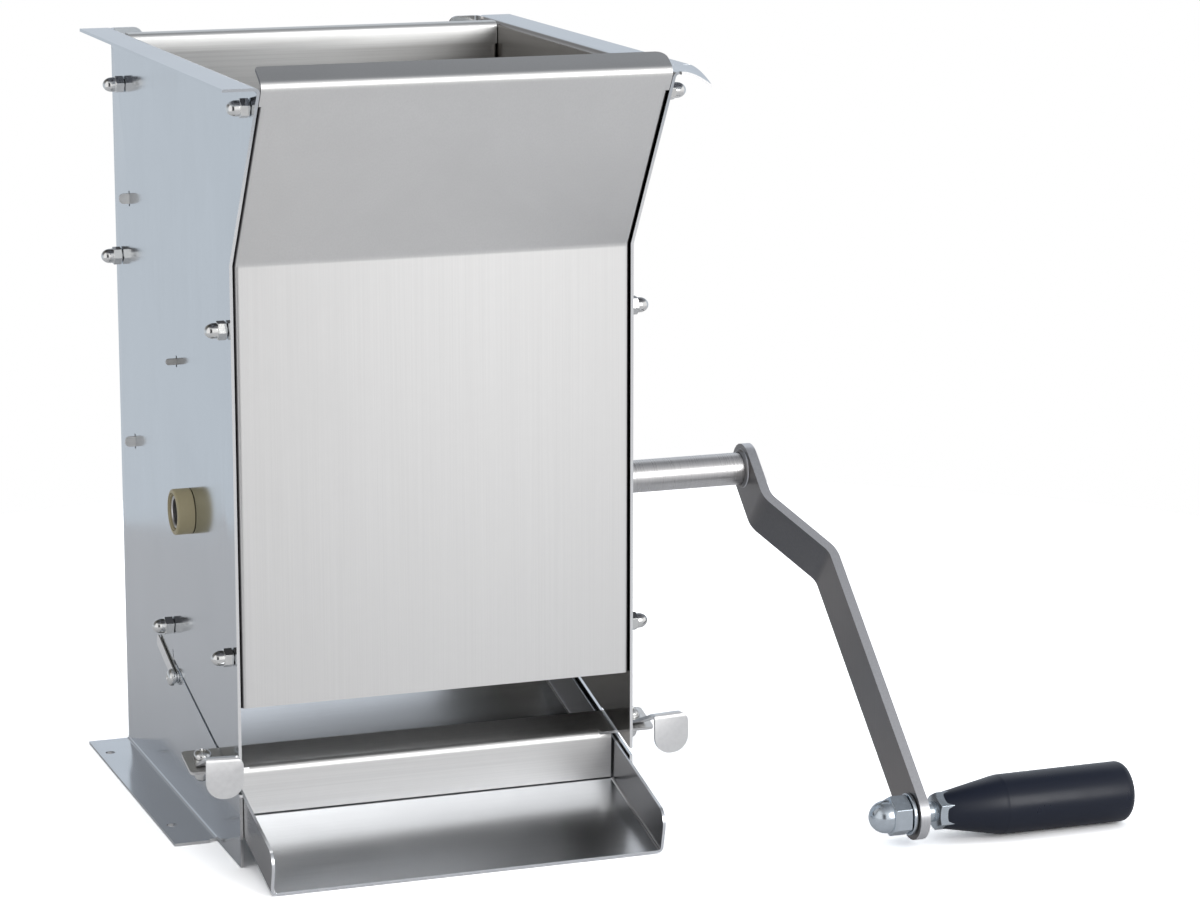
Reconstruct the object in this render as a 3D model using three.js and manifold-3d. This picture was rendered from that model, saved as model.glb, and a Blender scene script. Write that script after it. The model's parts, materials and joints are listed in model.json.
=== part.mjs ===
// Hand-cranked apple scratter: a sheet-metal hopper over a toothed drum, with a sloping chute.
// Millimetres, +Z up, X along the front panel, Y from the front to the back.
import * as THREE from 'three';
import { mergeVertices } from 'three/addons/utils/BufferGeometryUtils.js';
import Module from 'manifold-3d';

const wasm = await Module();
wasm.setup();

// Driving dimensions: housing
const INNER_WIDTH = 200; // between the side walls
const SHEET = 1.5; // stainless sheet of every bent panel
const BEND_RADIUS = 1.5; // inside of each fold
const GAP = 0.3; // between pieces that touch
const DEPTH = 240; // front edge to rear edge of a side wall
const WALL_HEIGHT = 386;
const FLARE_HEIGHT = 90; // height of the part of the front that leans out
const FLARE_REACH = 58; // how far it leans out at the top of the walls
const TOP_FLANGE = 16.5;
const FOOT_FLANGE = 22;
const FOOT_SETBACK = 44; // foot starts this far behind the wall's front edge
const FOOT_HOLE_INSET = 6;
const FOOT_HOLE_RADIUS = 2.6;
const FOOT_HOLE_LEAD = 31; // front hole behind the foot's front end
const FOOT_HOLE_TAIL = 28; // rear hole in front of the rear edge
const FOOT_RELIEF = 4; // notch that frees the foot's fold
const REAR_FLANGE = 16;
const REAR_FLANGE_FOOT = 8; // its lower end stands clear of the table
const REAR_CORNER = 5;
const CURL_DROP = 6.5; // the right flange's front corner is turned down by this much
const CURL_LENGTH = 34;
const CURL_LEAD = 8; // the flange reaches this far in front of the wall before it is turned down
const CURL_SETBACK = 6; // the turned-down corner draws back by this much

// Driving dimensions: panels
const PANEL_BOTTOM = 80;
const PANEL_FLANGE = 14.5;
const FLARE_OVERREACH = 0.93; // the panel's top fold lies this far past the walls' corners
const LIP_LENGTH = 14.2;
const LIP_CORNERS = [1.5, 5]; // left and right
const LIP_FOLD_RADIUS = 2.8; // inside
const FLANGE_DROP = 4; // the panel's side flanges end this far below the walls' top
const BACK_RECESS = 36.5; // front face of the back panel, in front of the rear edge
const BACK_BOTTOM = 140;
const BACK_FLANGE = 28;
const BACK_RIM = 9;
const TAB_REACH = 5.5; // a locating tab stands this far out of the wall
const TAB_HEIGHT = 5.4;
const TAB_ROUNDING = 0.46; // corner radius of a tab over its height
const SLOT_PLAY = 2.6; // a tab slot is this much longer than its tab
const BACK_TAB_DROP = 85.5; // upper tabs below the top of the walls
const BACK_TAB_RISE = 32; // lower tabs above the back panel's lower edge
const GUIDE_DROP = 84; // upper end of the guide plate below the top of the walls
const GUIDE_EDGE = [109.7, 238]; // fold between the guide plate's slope and its apron
const GUIDE_LIP = 9;
const GUIDE_APRON = 10; // height of the upright part below the slope
const GUIDE_TAB = 3.2;
const GUIDE_TAB_RISE = 3.3; // middle of the tab above the apron's lower edge
const BREAKER_DROP = 20; // its upper edge below the front fold
const BREAKER_BOTTOM = 95;
const BREAKER_STANDOFF = 3; // to the drum teeth
const BREAKER_FACE = 30; // height of its working face
const BREAKER_COLLAR = 31.5; // upright part above its ramp
const DEFLECTOR_TOP = 150;
const DEFLECTOR_RUN = 78.5; // its lower edge in front of the back panel
const DEFLECTOR_BOTTOM = 78;
const DEFLECTOR_LIP = 14;
const DEFLECTOR_EAR = [26, 24]; // length and height of its bolted ears

// Driving dimensions: fasteners
const BOLT_RADIUS = 2.5;
const BOLT_HEAD_RADIUS = 4.3;
const BOLT_HEAD_HEIGHT = 2.8;
const NUT_ACROSS_FLATS = 8.3;
const NUT_HEX_HEIGHT = 4.4;
const NUT_HEIGHT = 10.4;
const FRONT_BOLT_INSET = 8.4; // behind the folded front edge
const FRONT_BOLT_DROP = 32; // below the front fold
const FRONT_BOLT_RISE = 23.9; // above the front panel's lower edge
const FLARE_BOLT_DROP = 10.8; // below the top of the walls
const REAR_BOLT_SETBACKS = [8.3, 22.5]; // behind the back panel's front face
const REAR_BOLT_DROPS = [26.9, 118.5]; // below the top of the walls
const LOW_BOLT_OFFSET = [4.5, 12.5]; // behind and above the deflector's lower edge

// Driving dimensions: drum and shaft
const SHAFT_Y = 87;
const SHAFT_Z = 159.5;
const SHAFT_RADIUS = 8.5;
const SHAFT_BORE = 6.8;
const BUSH_RADIUS = 11.5;
const BUSH_REACH = 9; // outside the wall
const BUSH_NECK_RADIUS = 10;
const BUSH_NECK = 4.5; // inside the wall
const SHAFT_RECESS = 1.2; // shaft end behind the bush face
const DRUM_RADIUS = 60;
const DRUM_END_GAP = 8; // from the end of the drum to the wall
const DRUM_SHEET = 1.5;
const DISC_THICKNESS = 3;
const HUB_RADIUS = 13;
const HUB_LENGTH = 10;
const BLADE_COUNT = 6;
const BLADE_THICKNESS = 2;
const BLADE_TIP_RADIUS = 65.5;
const BLADE_ROOT_RADIUS = 48;
const TOOTH_DEPTH = 4;
const TOOTH_PITCH = 11.5;

// Driving dimensions: crank and handle
const ARM_REACH = 92.9; // inner face of the arm at its eye, outside the wall
const ARM_THICKNESS = 5;
const ARM_WIDTH = 26;
const ARM_JOGGLE = 25.4;
const JOGGLE_START = 28.5;
const JOGGLE_END = 66;
const ARM_BEND_RADIUS = 10;
const CRANK_RADIUS = 217.5;
const WELD_WIDTH = 1.6;
const GRIP_RADIUS = 15.3;
const GRIP_NECK_RADIUS = 9.2;
const GRIP_LENGTH = 101.5;
const GRIP_CONE = 31; // length of the cone next to the collar
const GRIP_SHOULDER_RADIUS = 15; // where the cone meets the barrel
const GRIP_ROUNDING = 4;
const GRIP_SOLID_END = 14; // beyond the end of its bore
const GRIP_FLOOR_GAP = 0.5; // the resting grip lies this far above the table
const SPINDLE_RADIUS = 5;
const COLLAR_FLATS = 17;
const COLLAR_HEX_HEIGHT = 10.8;
const END_NUT_FLATS = 18;
const END_NUT_HEX_HEIGHT = 9.5;
const END_NUT_HEIGHT = 19.5;
const END_WASHER_RADIUS = 10.5;
const END_WASHER_THICKNESS = 2;

// Driving dimensions: chute
const CHUTE_ANGLE = THREE.MathUtils.degToRad(14.5);
const SLIT_FRONT_Z = 38.7; // slit plane at the wall's front edge
const SLIT_END = 135;
const SLIT_END_HEIGHT = 5; // the slit's rear end turns up by this much
const SLIT_MOUTH = 43;
const SLIT_MOUTH_WIDTH = 3.4;
const CHUTE_FRONT = -56;
const CHUTE_REAR = 138;
const CHUTE_FLOOR = -23.5; // chute floor below the slit plane
const CHEEK_HEIGHT = 20.3;
const CHEEK_CORNER = 8;
const CHUTE_SCREW = [128.5, -7.2]; // along and off the slit plane
const RAKE_FRONT = 20.4;
const RAKE_REAR = 41.5;
const RAKE_REACH = 19; // of an ear outside the wall
const RAKE_LEAN = THREE.MathUtils.degToRad(2); // the foot of its face stands this far behind its ridge
const RAKE_FOLD_RADIUS = 3; // inside
const EAR_CORNER = 2;
const LEVER_PIVOT = [10.5, 31.8]; // outside the wall, along the slit
const LEVER_SHEET = 1.5;
const LEVER_EYE = 5.6;
const LEVER_ARM_WIDTH = 9;
const LEVER_FOOT = 7; // flat length in front of the pivot
const LEVER_RISE = THREE.MathUtils.degToRad(35.7);
const LEVER_ARM = 36.7;
const LEVER_TAB = [18.3, 19.6];
const LEVER_TAB_OFFSET = 3.2;
const LEVER_LEFT_TURN = THREE.MathUtils.degToRad(-3.9);
const LEVER_RIGHT_TURN = THREE.MathUtils.degToRad(3.9);
const PIVOT_RADIUS = 2.5;
const PAN_RADIUS = 4.4;
const PAN_HEIGHT = 3.3;
const PIVOT_NUT_FLATS = 8;
const PIVOT_NUT_HEX_HEIGHT = 5;
const PIVOT_NUT_HEIGHT = 10;
const CATCH_WIDTH = 6.6;
const CATCH_SHEET = 0.8;
const CATCH_REACH = 36.5; // from its screw
const CATCH_RISE = THREE.MathUtils.degToRad(4.7); // steeper than the slit

// Worked out from the driving dimensions
const WALL_INSIDE = INNER_WIDTH / 2;
const WALL_OUTSIDE = WALL_INSIDE + SHEET;
const PANEL_OUTSIDE = WALL_INSIDE - GAP;
const PANEL_INSIDE = PANEL_OUTSIDE - SHEET;
const LINER_OUTSIDE = PANEL_INSIDE - GAP;
const LINER_INSIDE = LINER_OUTSIDE - SHEET;
const FLARE_START = WALL_HEIGHT - FLARE_HEIGHT;
const FLARE_ANGLE = Math.atan2(FLARE_REACH, FLARE_HEIGHT);
const FLARE_LENGTH = Math.hypot(FLARE_REACH, FLARE_HEIGHT) + FLARE_OVERREACH;
const BACK_PLANE = DEPTH - BACK_RECESS;
const BACK_TABS_Z = [WALL_HEIGHT - BACK_TAB_DROP, BACK_BOTTOM + BACK_TAB_RISE];
const GUIDE_TOP = WALL_HEIGHT - GUIDE_DROP;
const BREAKER_TOP = FLARE_START - BREAKER_DROP;
const DEFLECTOR_EDGE = [BACK_PLANE - DEFLECTOR_RUN, DEFLECTOR_BOTTOM];
const LOW_BOLT = [DEFLECTOR_EDGE[0] + LOW_BOLT_OFFSET[0], DEFLECTOR_EDGE[1] + LOW_BOLT_OFFSET[1]];
const FOOT_HOLES_Y = [FOOT_SETBACK + FOOT_HOLE_LEAD, DEPTH - FOOT_HOLE_TAIL];
const DRUM_LENGTH = INNER_WIDTH - 2 * DRUM_END_GAP;
const ARM_X = WALL_OUTSIDE + ARM_REACH;
const CRANK_REST = -Math.acos((SHAFT_Z - GRIP_RADIUS - GRIP_FLOOR_GAP) / CRANK_RADIUS);
const ROUND = 24; // sides of a turned part
const ROUND_BORE = 32; // sides of the shaft and of what it runs in
const SMALL_ROUND = 12; // sides of a screw or a nut
const DRUM_ROUND = 36;

const steel = (color, roughness, name) => {
  const material = new THREE.MeshStandardMaterial({ color, roughness, metalness: 1 });
  material.name = name;
  return material;
};
const WALL_FINISH = steel(0xb4bcc4, 0.16, 'polished_sheet');
const PANEL_FINISH = steel(0xb9b7b2, 0.34, 'brushed_sheet');
const DRUM_FINISH = steel(0xa9aaab, 0.4, 'drum_steel');
const SHAFT_FINISH = steel(0xb6b6b8, 0.3, 'satin_bar');
const PLATED_FINISH = steel(0xd4d8dc, 0.12, 'bright_plated');
const GRIP_FINISH = new THREE.MeshStandardMaterial({ color: 0x14171f, roughness: 0.3 });
GRIP_FINISH.name = 'black_plastic';
const NYLON_FINISH = new THREE.MeshStandardMaterial({ color: 0xa9a184, roughness: 0.55 });
NYLON_FINISH.name = 'natural_nylon';

// Turns a closed geometry into a solid with its faces pointing out.
function solidOf(geometry) {
  const bare = new THREE.BufferGeometry();
  const loose = geometry.index ? geometry.toNonIndexed() : geometry;
  bare.setAttribute('position', loose.getAttribute('position').clone());
  const merged = mergeVertices(bare, 1e-4);
  const vertices = merged.getAttribute('position').array;
  const corners = Array.from(merged.getIndex().array);
  const kept = [];
  let volume = 0;
  const [a, b, c] = [new THREE.Vector3(), new THREE.Vector3(), new THREE.Vector3()];
  for (let i = 0; i < corners.length; i += 3) {
    const [p, q, r] = corners.slice(i, i + 3);
    if (p === q || q === r || r === p) continue;
    kept.push(p, q, r);
    a.fromArray(vertices, 3 * p);
    b.fromArray(vertices, 3 * q);
    c.fromArray(vertices, 3 * r);
    volume += a.dot(b.cross(c));
  }
  if (volume < 0) kept.reverse();
  return new wasm.Manifold(new wasm.Mesh({
    numProp: 3,
    vertProperties: new Float32Array(vertices),
    triVerts: new Uint32Array(kept),
  }));
}

function geometryOf(solid) {
  const mesh = solid.getMesh();
  const geometry = new THREE.BufferGeometry();
  geometry.setAttribute('position', new THREE.BufferAttribute(new Float32Array(mesh.vertProperties), 3));
  geometry.setIndex(new THREE.BufferAttribute(new Uint32Array(mesh.triVerts), 1));
  geometry.computeVertexNormals();
  return geometry;
}

const joined = (...solids) => solids.reduce((all, next) => all.add(next));
const without = (solid, ...cuts) => cuts.reduce((rest, cut) => rest.subtract(cut), solid);

// Frames for flat outlines: an outline point (u, v) is pushed along the third direction.
const frame = (u, v, w, origin = [0, 0, 0]) => new THREE.Matrix4()
  .makeBasis(new THREE.Vector3(...u), new THREE.Vector3(...v), new THREE.Vector3(...w))
  .setPosition(...origin);
const SIDE_VIEW = frame([0, 1, 0], [0, 0, 1], [1, 0, 0]); // (Y, Z) pushed along X
const FRONT_VIEW = frame([1, 0, 0], [0, 0, 1], [0, -1, 0]); // (X, Z) pushed along -Y
const TOP_VIEW = frame([1, 0, 0], [0, 1, 0], [0, 0, 1]); // (X, Y) pushed along Z
const CHUTE_BACK = [0, Math.cos(CHUTE_ANGLE), Math.sin(CHUTE_ANGLE)];
const CHUTE_UP = [0, -Math.sin(CHUTE_ANGLE), Math.cos(CHUTE_ANGLE)];
const CHUTE_ORIGIN = [0, 0, SLIT_FRONT_Z];
const CHUTE_TOP = frame([1, 0, 0], CHUTE_BACK, CHUTE_UP, CHUTE_ORIGIN); // in the slit plane
const CHUTE_SIDE = frame(CHUTE_BACK, CHUTE_UP, [1, 0, 0], CHUTE_ORIGIN); // pushed along X

function prism(outline, from, to, view) {
  const shape = new THREE.Shape(outline.map(([u, v]) => new THREE.Vector2(u, v)));
  const geometry = new THREE.ExtrudeGeometry(shape, { depth: to - from, bevelEnabled: false });
  geometry.translate(0, 0, from);
  geometry.applyMatrix4(view);
  return solidOf(geometry);
}

const rectangle = (u0, v0, u1, v1) => [[u0, v0], [u1, v0], [u1, v1], [u0, v1]];
const block = (low, high) => prism(rectangle(low[0], low[1], high[0], high[1]), low[2], high[2], TOP_VIEW);

// Rounds the corners of an outline whose points are [u, v, radius].
function rounded(points, steps = 5) {
  const outline = [];
  points.forEach(([u, v, radius = 0], i) => {
    const before = points[(i + points.length - 1) % points.length];
    const after = points[(i + 1) % points.length];
    const corner = new THREE.Vector2(u, v);
    if (radius === 0) {
      outline.push([u, v]);
      return;
    }
    const back = new THREE.Vector2(before[0] - u, before[1] - v).normalize();
    const ahead = new THREE.Vector2(after[0] - u, after[1] - v).normalize();
    const half = Math.acos(THREE.MathUtils.clamp(back.dot(ahead), -1, 1)) / 2;
    const centre = back.clone().add(ahead).normalize().multiplyScalar(radius / Math.sin(half)).add(corner);
    const start = corner.clone().addScaledVector(back, radius / Math.tan(half)).sub(centre);
    const turn = back.cross(ahead) > 0 ? -1 : 1;
    for (let k = 0; k <= steps; k += 1) {
      const angle = turn * (Math.PI - 2 * half) * (k / steps);
      const point = start.clone().rotateAround(new THREE.Vector2(), angle).add(centre);
      outline.push([point.x, point.y]);
    }
  });
  return outline;
}

// Outline of a folded sheet: the points run along one face, the thickness lies to their left.
function folded(points, thickness = SHEET, radius = BEND_RADIUS, steps = 4) {
  const face = [];
  const other = [];
  points.forEach(([u, v], i) => {
    const corner = new THREE.Vector2(u, v);
    const inward = i > 0 ? corner.clone().sub(new THREE.Vector2(...points[i - 1])).normalize() : null;
    const outward = i < points.length - 1
      ? new THREE.Vector2(...points[i + 1]).sub(corner).normalize() : null;
    if (!inward || !outward) {
      const along = inward ?? outward;
      face.push([u, v]);
      other.push([u - along.y * thickness, v + along.x * thickness]);
      return;
    }
    const turn = Math.atan2(inward.cross(outward), inward.dot(outward));
    const side = Math.sign(turn);
    const faceRadius = side > 0 ? radius + thickness : radius;
    const otherRadius = side > 0 ? radius : radius + thickness;
    const start = corner.clone().addScaledVector(inward, -faceRadius * Math.tan(Math.abs(turn) / 2));
    const normal = new THREE.Vector2(-inward.y, inward.x).multiplyScalar(side);
    const centre = start.clone().addScaledVector(normal, faceRadius);
    for (let k = 0; k <= steps; k += 1) {
      const spoke = normal.clone().negate().rotateAround(new THREE.Vector2(), turn * (k / steps));
      face.push([centre.x + spoke.x * faceRadius, centre.y + spoke.y * faceRadius]);
      other.push([centre.x + spoke.x * otherRadius, centre.y + spoke.y * otherRadius]);
    }
  });
  return face.concat(other.reverse());
}

// A part turned on a lathe: the profile holds [radius, distance along the axis].
function turned(profile, at, axis = [1, 0, 0], sides = ROUND) {
  const geometry = new THREE.LatheGeometry(profile.map(([r, y]) => new THREE.Vector2(r, y)), sides);
  const direction = new THREE.Vector3(...axis).normalize();
  geometry.applyQuaternion(new THREE.Quaternion().setFromUnitVectors(new THREE.Vector3(0, 1, 0), direction));
  geometry.translate(...at);
  return solidOf(geometry);
}

const rod = (radius, from, to, at, axis, sides) => turned(
  [[0, from], [radius, from], [radius, to], [0, to]], at, axis, sides);
const tube = (outer, inner, from, to, at, axis, sides) => turned(
  [[inner, from], [outer, from], [outer, to], [inner, to], [inner, from]], at, axis, sides);

// A hexagon nut blank with its corners chamfered at both ends, standing on the axis.
function hexagon(flats, from, to, at, axis) {
  const reach = flats / 2 / Math.cos(Math.PI / 6);
  const chamfer = (reach - flats / 2) * 0.6;
  const cone = turned([
    [0, from], [reach - chamfer, from], [reach, from + chamfer],
    [reach, to - chamfer], [reach - chamfer, to], [0, to],
  ], at, axis, SMALL_ROUND);
  return rod(reach, from, to, at, axis, 6).intersect(cone);
}

// A dome nut on its blind thread, its seat at distance 0 and its tip along the axis.
function domeNut(flats, hexHeight, height, threadRadius, at, axis) {
  const shoulder = flats / 2 - 0.25;
  const dome = [[0, hexHeight - 0.5], [shoulder, hexHeight - 0.5], [shoulder, hexHeight + 0.6]];
  const steps = 4;
  for (let k = 1; k <= steps; k += 1) {
    const angle = (Math.PI / 2) * (k / steps);
    dome.push([shoulder * Math.cos(angle), hexHeight + 0.6 + (height - hexHeight - 0.6) * Math.sin(angle)]);
  }
  dome[dome.length - 1][0] = 0;
  const blank = joined(hexagon(flats, 0, hexHeight, at, axis), turned(dome, at, axis, SMALL_ROUND));
  return without(blank, rod(threadRadius + GAP, -1, height - shoulder, at, axis, SMALL_ROUND));
}

// A headed fastener: the head's seat is at distance 0 and the shank runs along the axis.
function headedScrew(shankRadius, length, headRadius, headHeight, at, axis, crossRecess = false) {
  const profile = [
    [0, -headHeight], [headRadius * 0.6, -headHeight], [headRadius * 0.92, -headHeight * 0.55],
    [headRadius, 0], [shankRadius, 0], [shankRadius, length], [0, length],
  ];
  const blank = turned(profile, at, axis, SMALL_ROUND);
  if (!crossRecess) return blank;
  const direction = new THREE.Vector3(...axis).normalize();
  const helper = Math.abs(direction.z) > 0.7 ? new THREE.Vector3(0, 1, 0) : new THREE.Vector3(0, 0, 1);
  const across = new THREE.Vector3().crossVectors(direction, helper).normalize();
  const over = new THREE.Vector3().crossVectors(direction, across);
  const view = new THREE.Matrix4().makeBasis(across, over, direction).setPosition(...at);
  const [long, short] = [headRadius * 0.5, headRadius * 0.13];
  const depths = [-headHeight - 1, -headHeight * 0.45];
  return without(
    blank,
    prism(rectangle(-long, -short, long, short), ...depths, view),
    prism(rectangle(-short, -long, short, long), ...depths, view),
  );
}

function placed(solid, matrix) {
  const geometry = geometryOf(solid);
  geometry.applyMatrix4(matrix);
  return solidOf(geometry);
}

const mirrored = (solid) => placed(solid, new THREE.Matrix4().makeScale(-1, 1, 1));

// Where things sit
const frontEdgeY = (z) => (z > FLARE_START ? -Math.tan(FLARE_ANGLE) * (z - FLARE_START) : 0);
const flareBoltZ = WALL_HEIGHT - FLARE_BOLT_DROP;
const flareBoltY = frontEdgeY(flareBoltZ) + FRONT_BOLT_INSET / Math.cos(FLARE_ANGLE);
const inChute = (along, off) => [
  along * CHUTE_BACK[1] + off * CHUTE_UP[1],
  SLIT_FRONT_Z + along * CHUTE_BACK[2] + off * CHUTE_UP[2],
];
const chuteScrewAt = inChute(...CHUTE_SCREW);
const rearBoltsY = REAR_BOLT_SETBACKS.map((setback) => BACK_PLANE + setback);
const PANEL_BOLTS = [
  { place: 'top_front', y: flareBoltY, z: flareBoltZ, seat: PANEL_INSIDE },
  { place: 'front', y: FRONT_BOLT_INSET, z: FLARE_START - FRONT_BOLT_DROP, seat: LINER_INSIDE },
  { place: 'low_front', y: FRONT_BOLT_INSET, z: PANEL_BOTTOM + FRONT_BOLT_RISE, seat: LINER_INSIDE },
  { place: 'top_rear', y: rearBoltsY[0], z: WALL_HEIGHT - REAR_BOLT_DROPS[0], seat: PANEL_INSIDE },
  { place: 'mid_rear', y: rearBoltsY[1], z: WALL_HEIGHT - REAR_BOLT_DROPS[1], seat: PANEL_INSIDE },
  { place: 'low_rear', y: LOW_BOLT[0], z: LOW_BOLT[1], seat: PANEL_INSIDE },
];

// A slot for a tab: centre, length and direction in the side view.
function tabSlot(y, z, length, angle) {
  const long = (length + SLOT_PLAY) / 2;
  const wide = SHEET / 2 + GAP;
  const turn = new THREE.Vector2();
  const outline = rectangle(-long, -wide, long, wide).map(([u, v]) => {
    turn.set(u, v).rotateAround(new THREE.Vector2(), angle);
    return [turn.x + y, turn.y + z];
  });
  return prism(outline, WALL_INSIDE - 1, WALL_OUTSIDE + 1, SIDE_VIEW);
}

// The guide plate's tab stands on its apron.
const guideTabAt = [GUIDE_EDGE[0] - SHEET / 2, GUIDE_EDGE[1] - GUIDE_APRON + GUIDE_TAB_RISE];

// One side wall, made on the +X side. The rear fold runs up between the two flanges.
function sideWall(curled) {
  const foldEnd = DEPTH - SHEET - BEND_RADIUS;
  const flangeEdge = WALL_OUTSIDE + TOP_FLANGE;
  const footEdge = WALL_OUTSIDE + FOOT_FLANGE;
  const flareTop = frontEdgeY(WALL_HEIGHT);
  const withFoot = folded([
    [flangeEdge, WALL_HEIGHT], [WALL_INSIDE, WALL_HEIGHT], [WALL_INSIDE, 0], [footEdge, 0],
  ]);
  const footless = folded([[flangeEdge, WALL_HEIGHT], [WALL_INSIDE, WALL_HEIGHT], [WALL_INSIDE, 0]]);
  const rearPart = prism(withFoot, -foldEnd, -FOOT_SETBACK, FRONT_VIEW);
  const frontPart = prism(footless, -FOOT_SETBACK, -flareTop, FRONT_VIEW);
  const above = WALL_HEIGHT + 5;
  const ahead = frontEdgeY(above) - 1;
  const inFrontOfWall = [
    [ahead, above], [ahead, -1], [0, -1], [0, FLARE_START], [frontEdgeY(above), above],
  ];
  const rearFold = folded([
    [WALL_OUTSIDE, foldEnd - 5], [WALL_OUTSIDE, DEPTH], [WALL_INSIDE - REAR_FLANGE, DEPTH],
  ]);
  const flangeFree = WALL_INSIDE - REAR_FLANGE;
  const rearTop = WALL_HEIGHT - GAP;
  const rearOutline = rounded([
    [flangeFree, REAR_FLANGE_FOOT, REAR_CORNER], [WALL_OUTSIDE + 1, REAR_FLANGE_FOOT],
    [WALL_OUTSIDE + 1, rearTop], [flangeFree, rearTop, REAR_CORNER],
  ]);
  const rear = prism(rearFold, REAR_FLANGE_FOOT, rearTop, TOP_VIEW)
    .intersect(prism(rearOutline, -DEPTH - 1, -foldEnd + 6, FRONT_VIEW));
  let wall = joined(rearPart, frontPart);
  wall = without(
    wall,
    prism(inFrontOfWall, WALL_INSIDE - 5, flangeEdge + 5, SIDE_VIEW),
    block(
      [WALL_OUTSIDE, FOOT_SETBACK - FOOT_RELIEF / 2, -1],
      [WALL_OUTSIDE + FOOT_RELIEF, FOOT_SETBACK + FOOT_RELIEF / 2, FOOT_RELIEF * 1.5]),
  );
  wall = joined(wall, rear);
  if (curled) wall = curlFlange(wall, flangeEdge);
  const sheet = [WALL_INSIDE - 1, WALL_OUTSIDE + 1];
  const drilled = (radius, y, z, sides = SMALL_ROUND) => rod(
    radius + GAP, ...sheet, [0, y, z], [1, 0, 0], sides);
  const kerf = SHEET / 2 + GAP;
  const mouth = SLIT_MOUTH_WIDTH / 2;
  const [endY, endZ] = inChute(SLIT_END, 0);
  const cutters = [
    drilled(BUSH_NECK_RADIUS, SHAFT_Y, SHAFT_Z, ROUND_BORE),
    ...PANEL_BOLTS.map(({ y, z }) => drilled(BOLT_RADIUS, y, z)),
    drilled(PIVOT_RADIUS, ...chuteScrewAt),
    ...BACK_TABS_Z.map((z) => tabSlot(BACK_PLANE + SHEET / 2, z, TAB_HEIGHT, Math.PI / 2)),
    tabSlot(...guideTabAt, GUIDE_TAB, Math.PI / 2),
    prism(rectangle(-5, -kerf, SLIT_END, kerf), ...sheet, CHUTE_SIDE),
    prism(rectangle(-5, -mouth, SLIT_MOUTH, mouth), ...sheet, CHUTE_SIDE),
    block([sheet[0], endY - SHEET, endZ - 1], [sheet[1], endY + 2 * GAP, endZ + SLIT_END_HEIGHT]),
    ...FOOT_HOLES_Y.map((y) => rod(
      FOOT_HOLE_RADIUS, -1, SHEET + 1, [footEdge - FOOT_HOLE_INSET, y, 0], [0, 0, 1], SMALL_ROUND)),
  ];
  return without(wall, ...cutters);
}

// Replaces the front end of the top flange by one whose outer corner is turned down.
function curlFlange(wall, flangeEdge) {
  const front = frontEdgeY(WALL_HEIGHT) - CURL_LEAD;
  const root = WALL_OUTSIDE + BEND_RADIUS + 1;
  const back = front + CURL_LENGTH;
  const cutaway = block([root, front - 5, WALL_HEIGHT - 5], [flangeEdge + 5, back, WALL_HEIGHT + 5]);
  const geometry = new THREE.BoxGeometry(flangeEdge - root + 1, CURL_LENGTH + 1, SHEET, 8, 9, 1);
  geometry.translate((flangeEdge + root - 1) / 2, (front + back + 1) / 2, WALL_HEIGHT - SHEET / 2);
  const position = geometry.getAttribute('position');
  for (let i = 0; i < position.count; i += 1) {
    const out = THREE.MathUtils.clamp((position.getX(i) - root) / (flangeEdge - root), 0, 1);
    const ahead = THREE.MathUtils.clamp((back - position.getY(i)) / CURL_LENGTH, 0, 1);
    position.setZ(i, position.getZ(i) - CURL_DROP * out ** 1.6 * ahead ** 1.8);
    position.setY(i, position.getY(i) + CURL_SETBACK * ahead);
  }
  return joined(without(wall, cutaway), solidOf(geometry));
}

// Cuts a bolt's hole in both side flanges of a panel.
const throughBolt = ({ y, z }) => rod(
  BOLT_RADIUS + GAP, -PANEL_OUTSIDE - 1, PANEL_OUTSIDE + 1, [0, y, z], [1, 0, 0], SMALL_ROUND);

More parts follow.
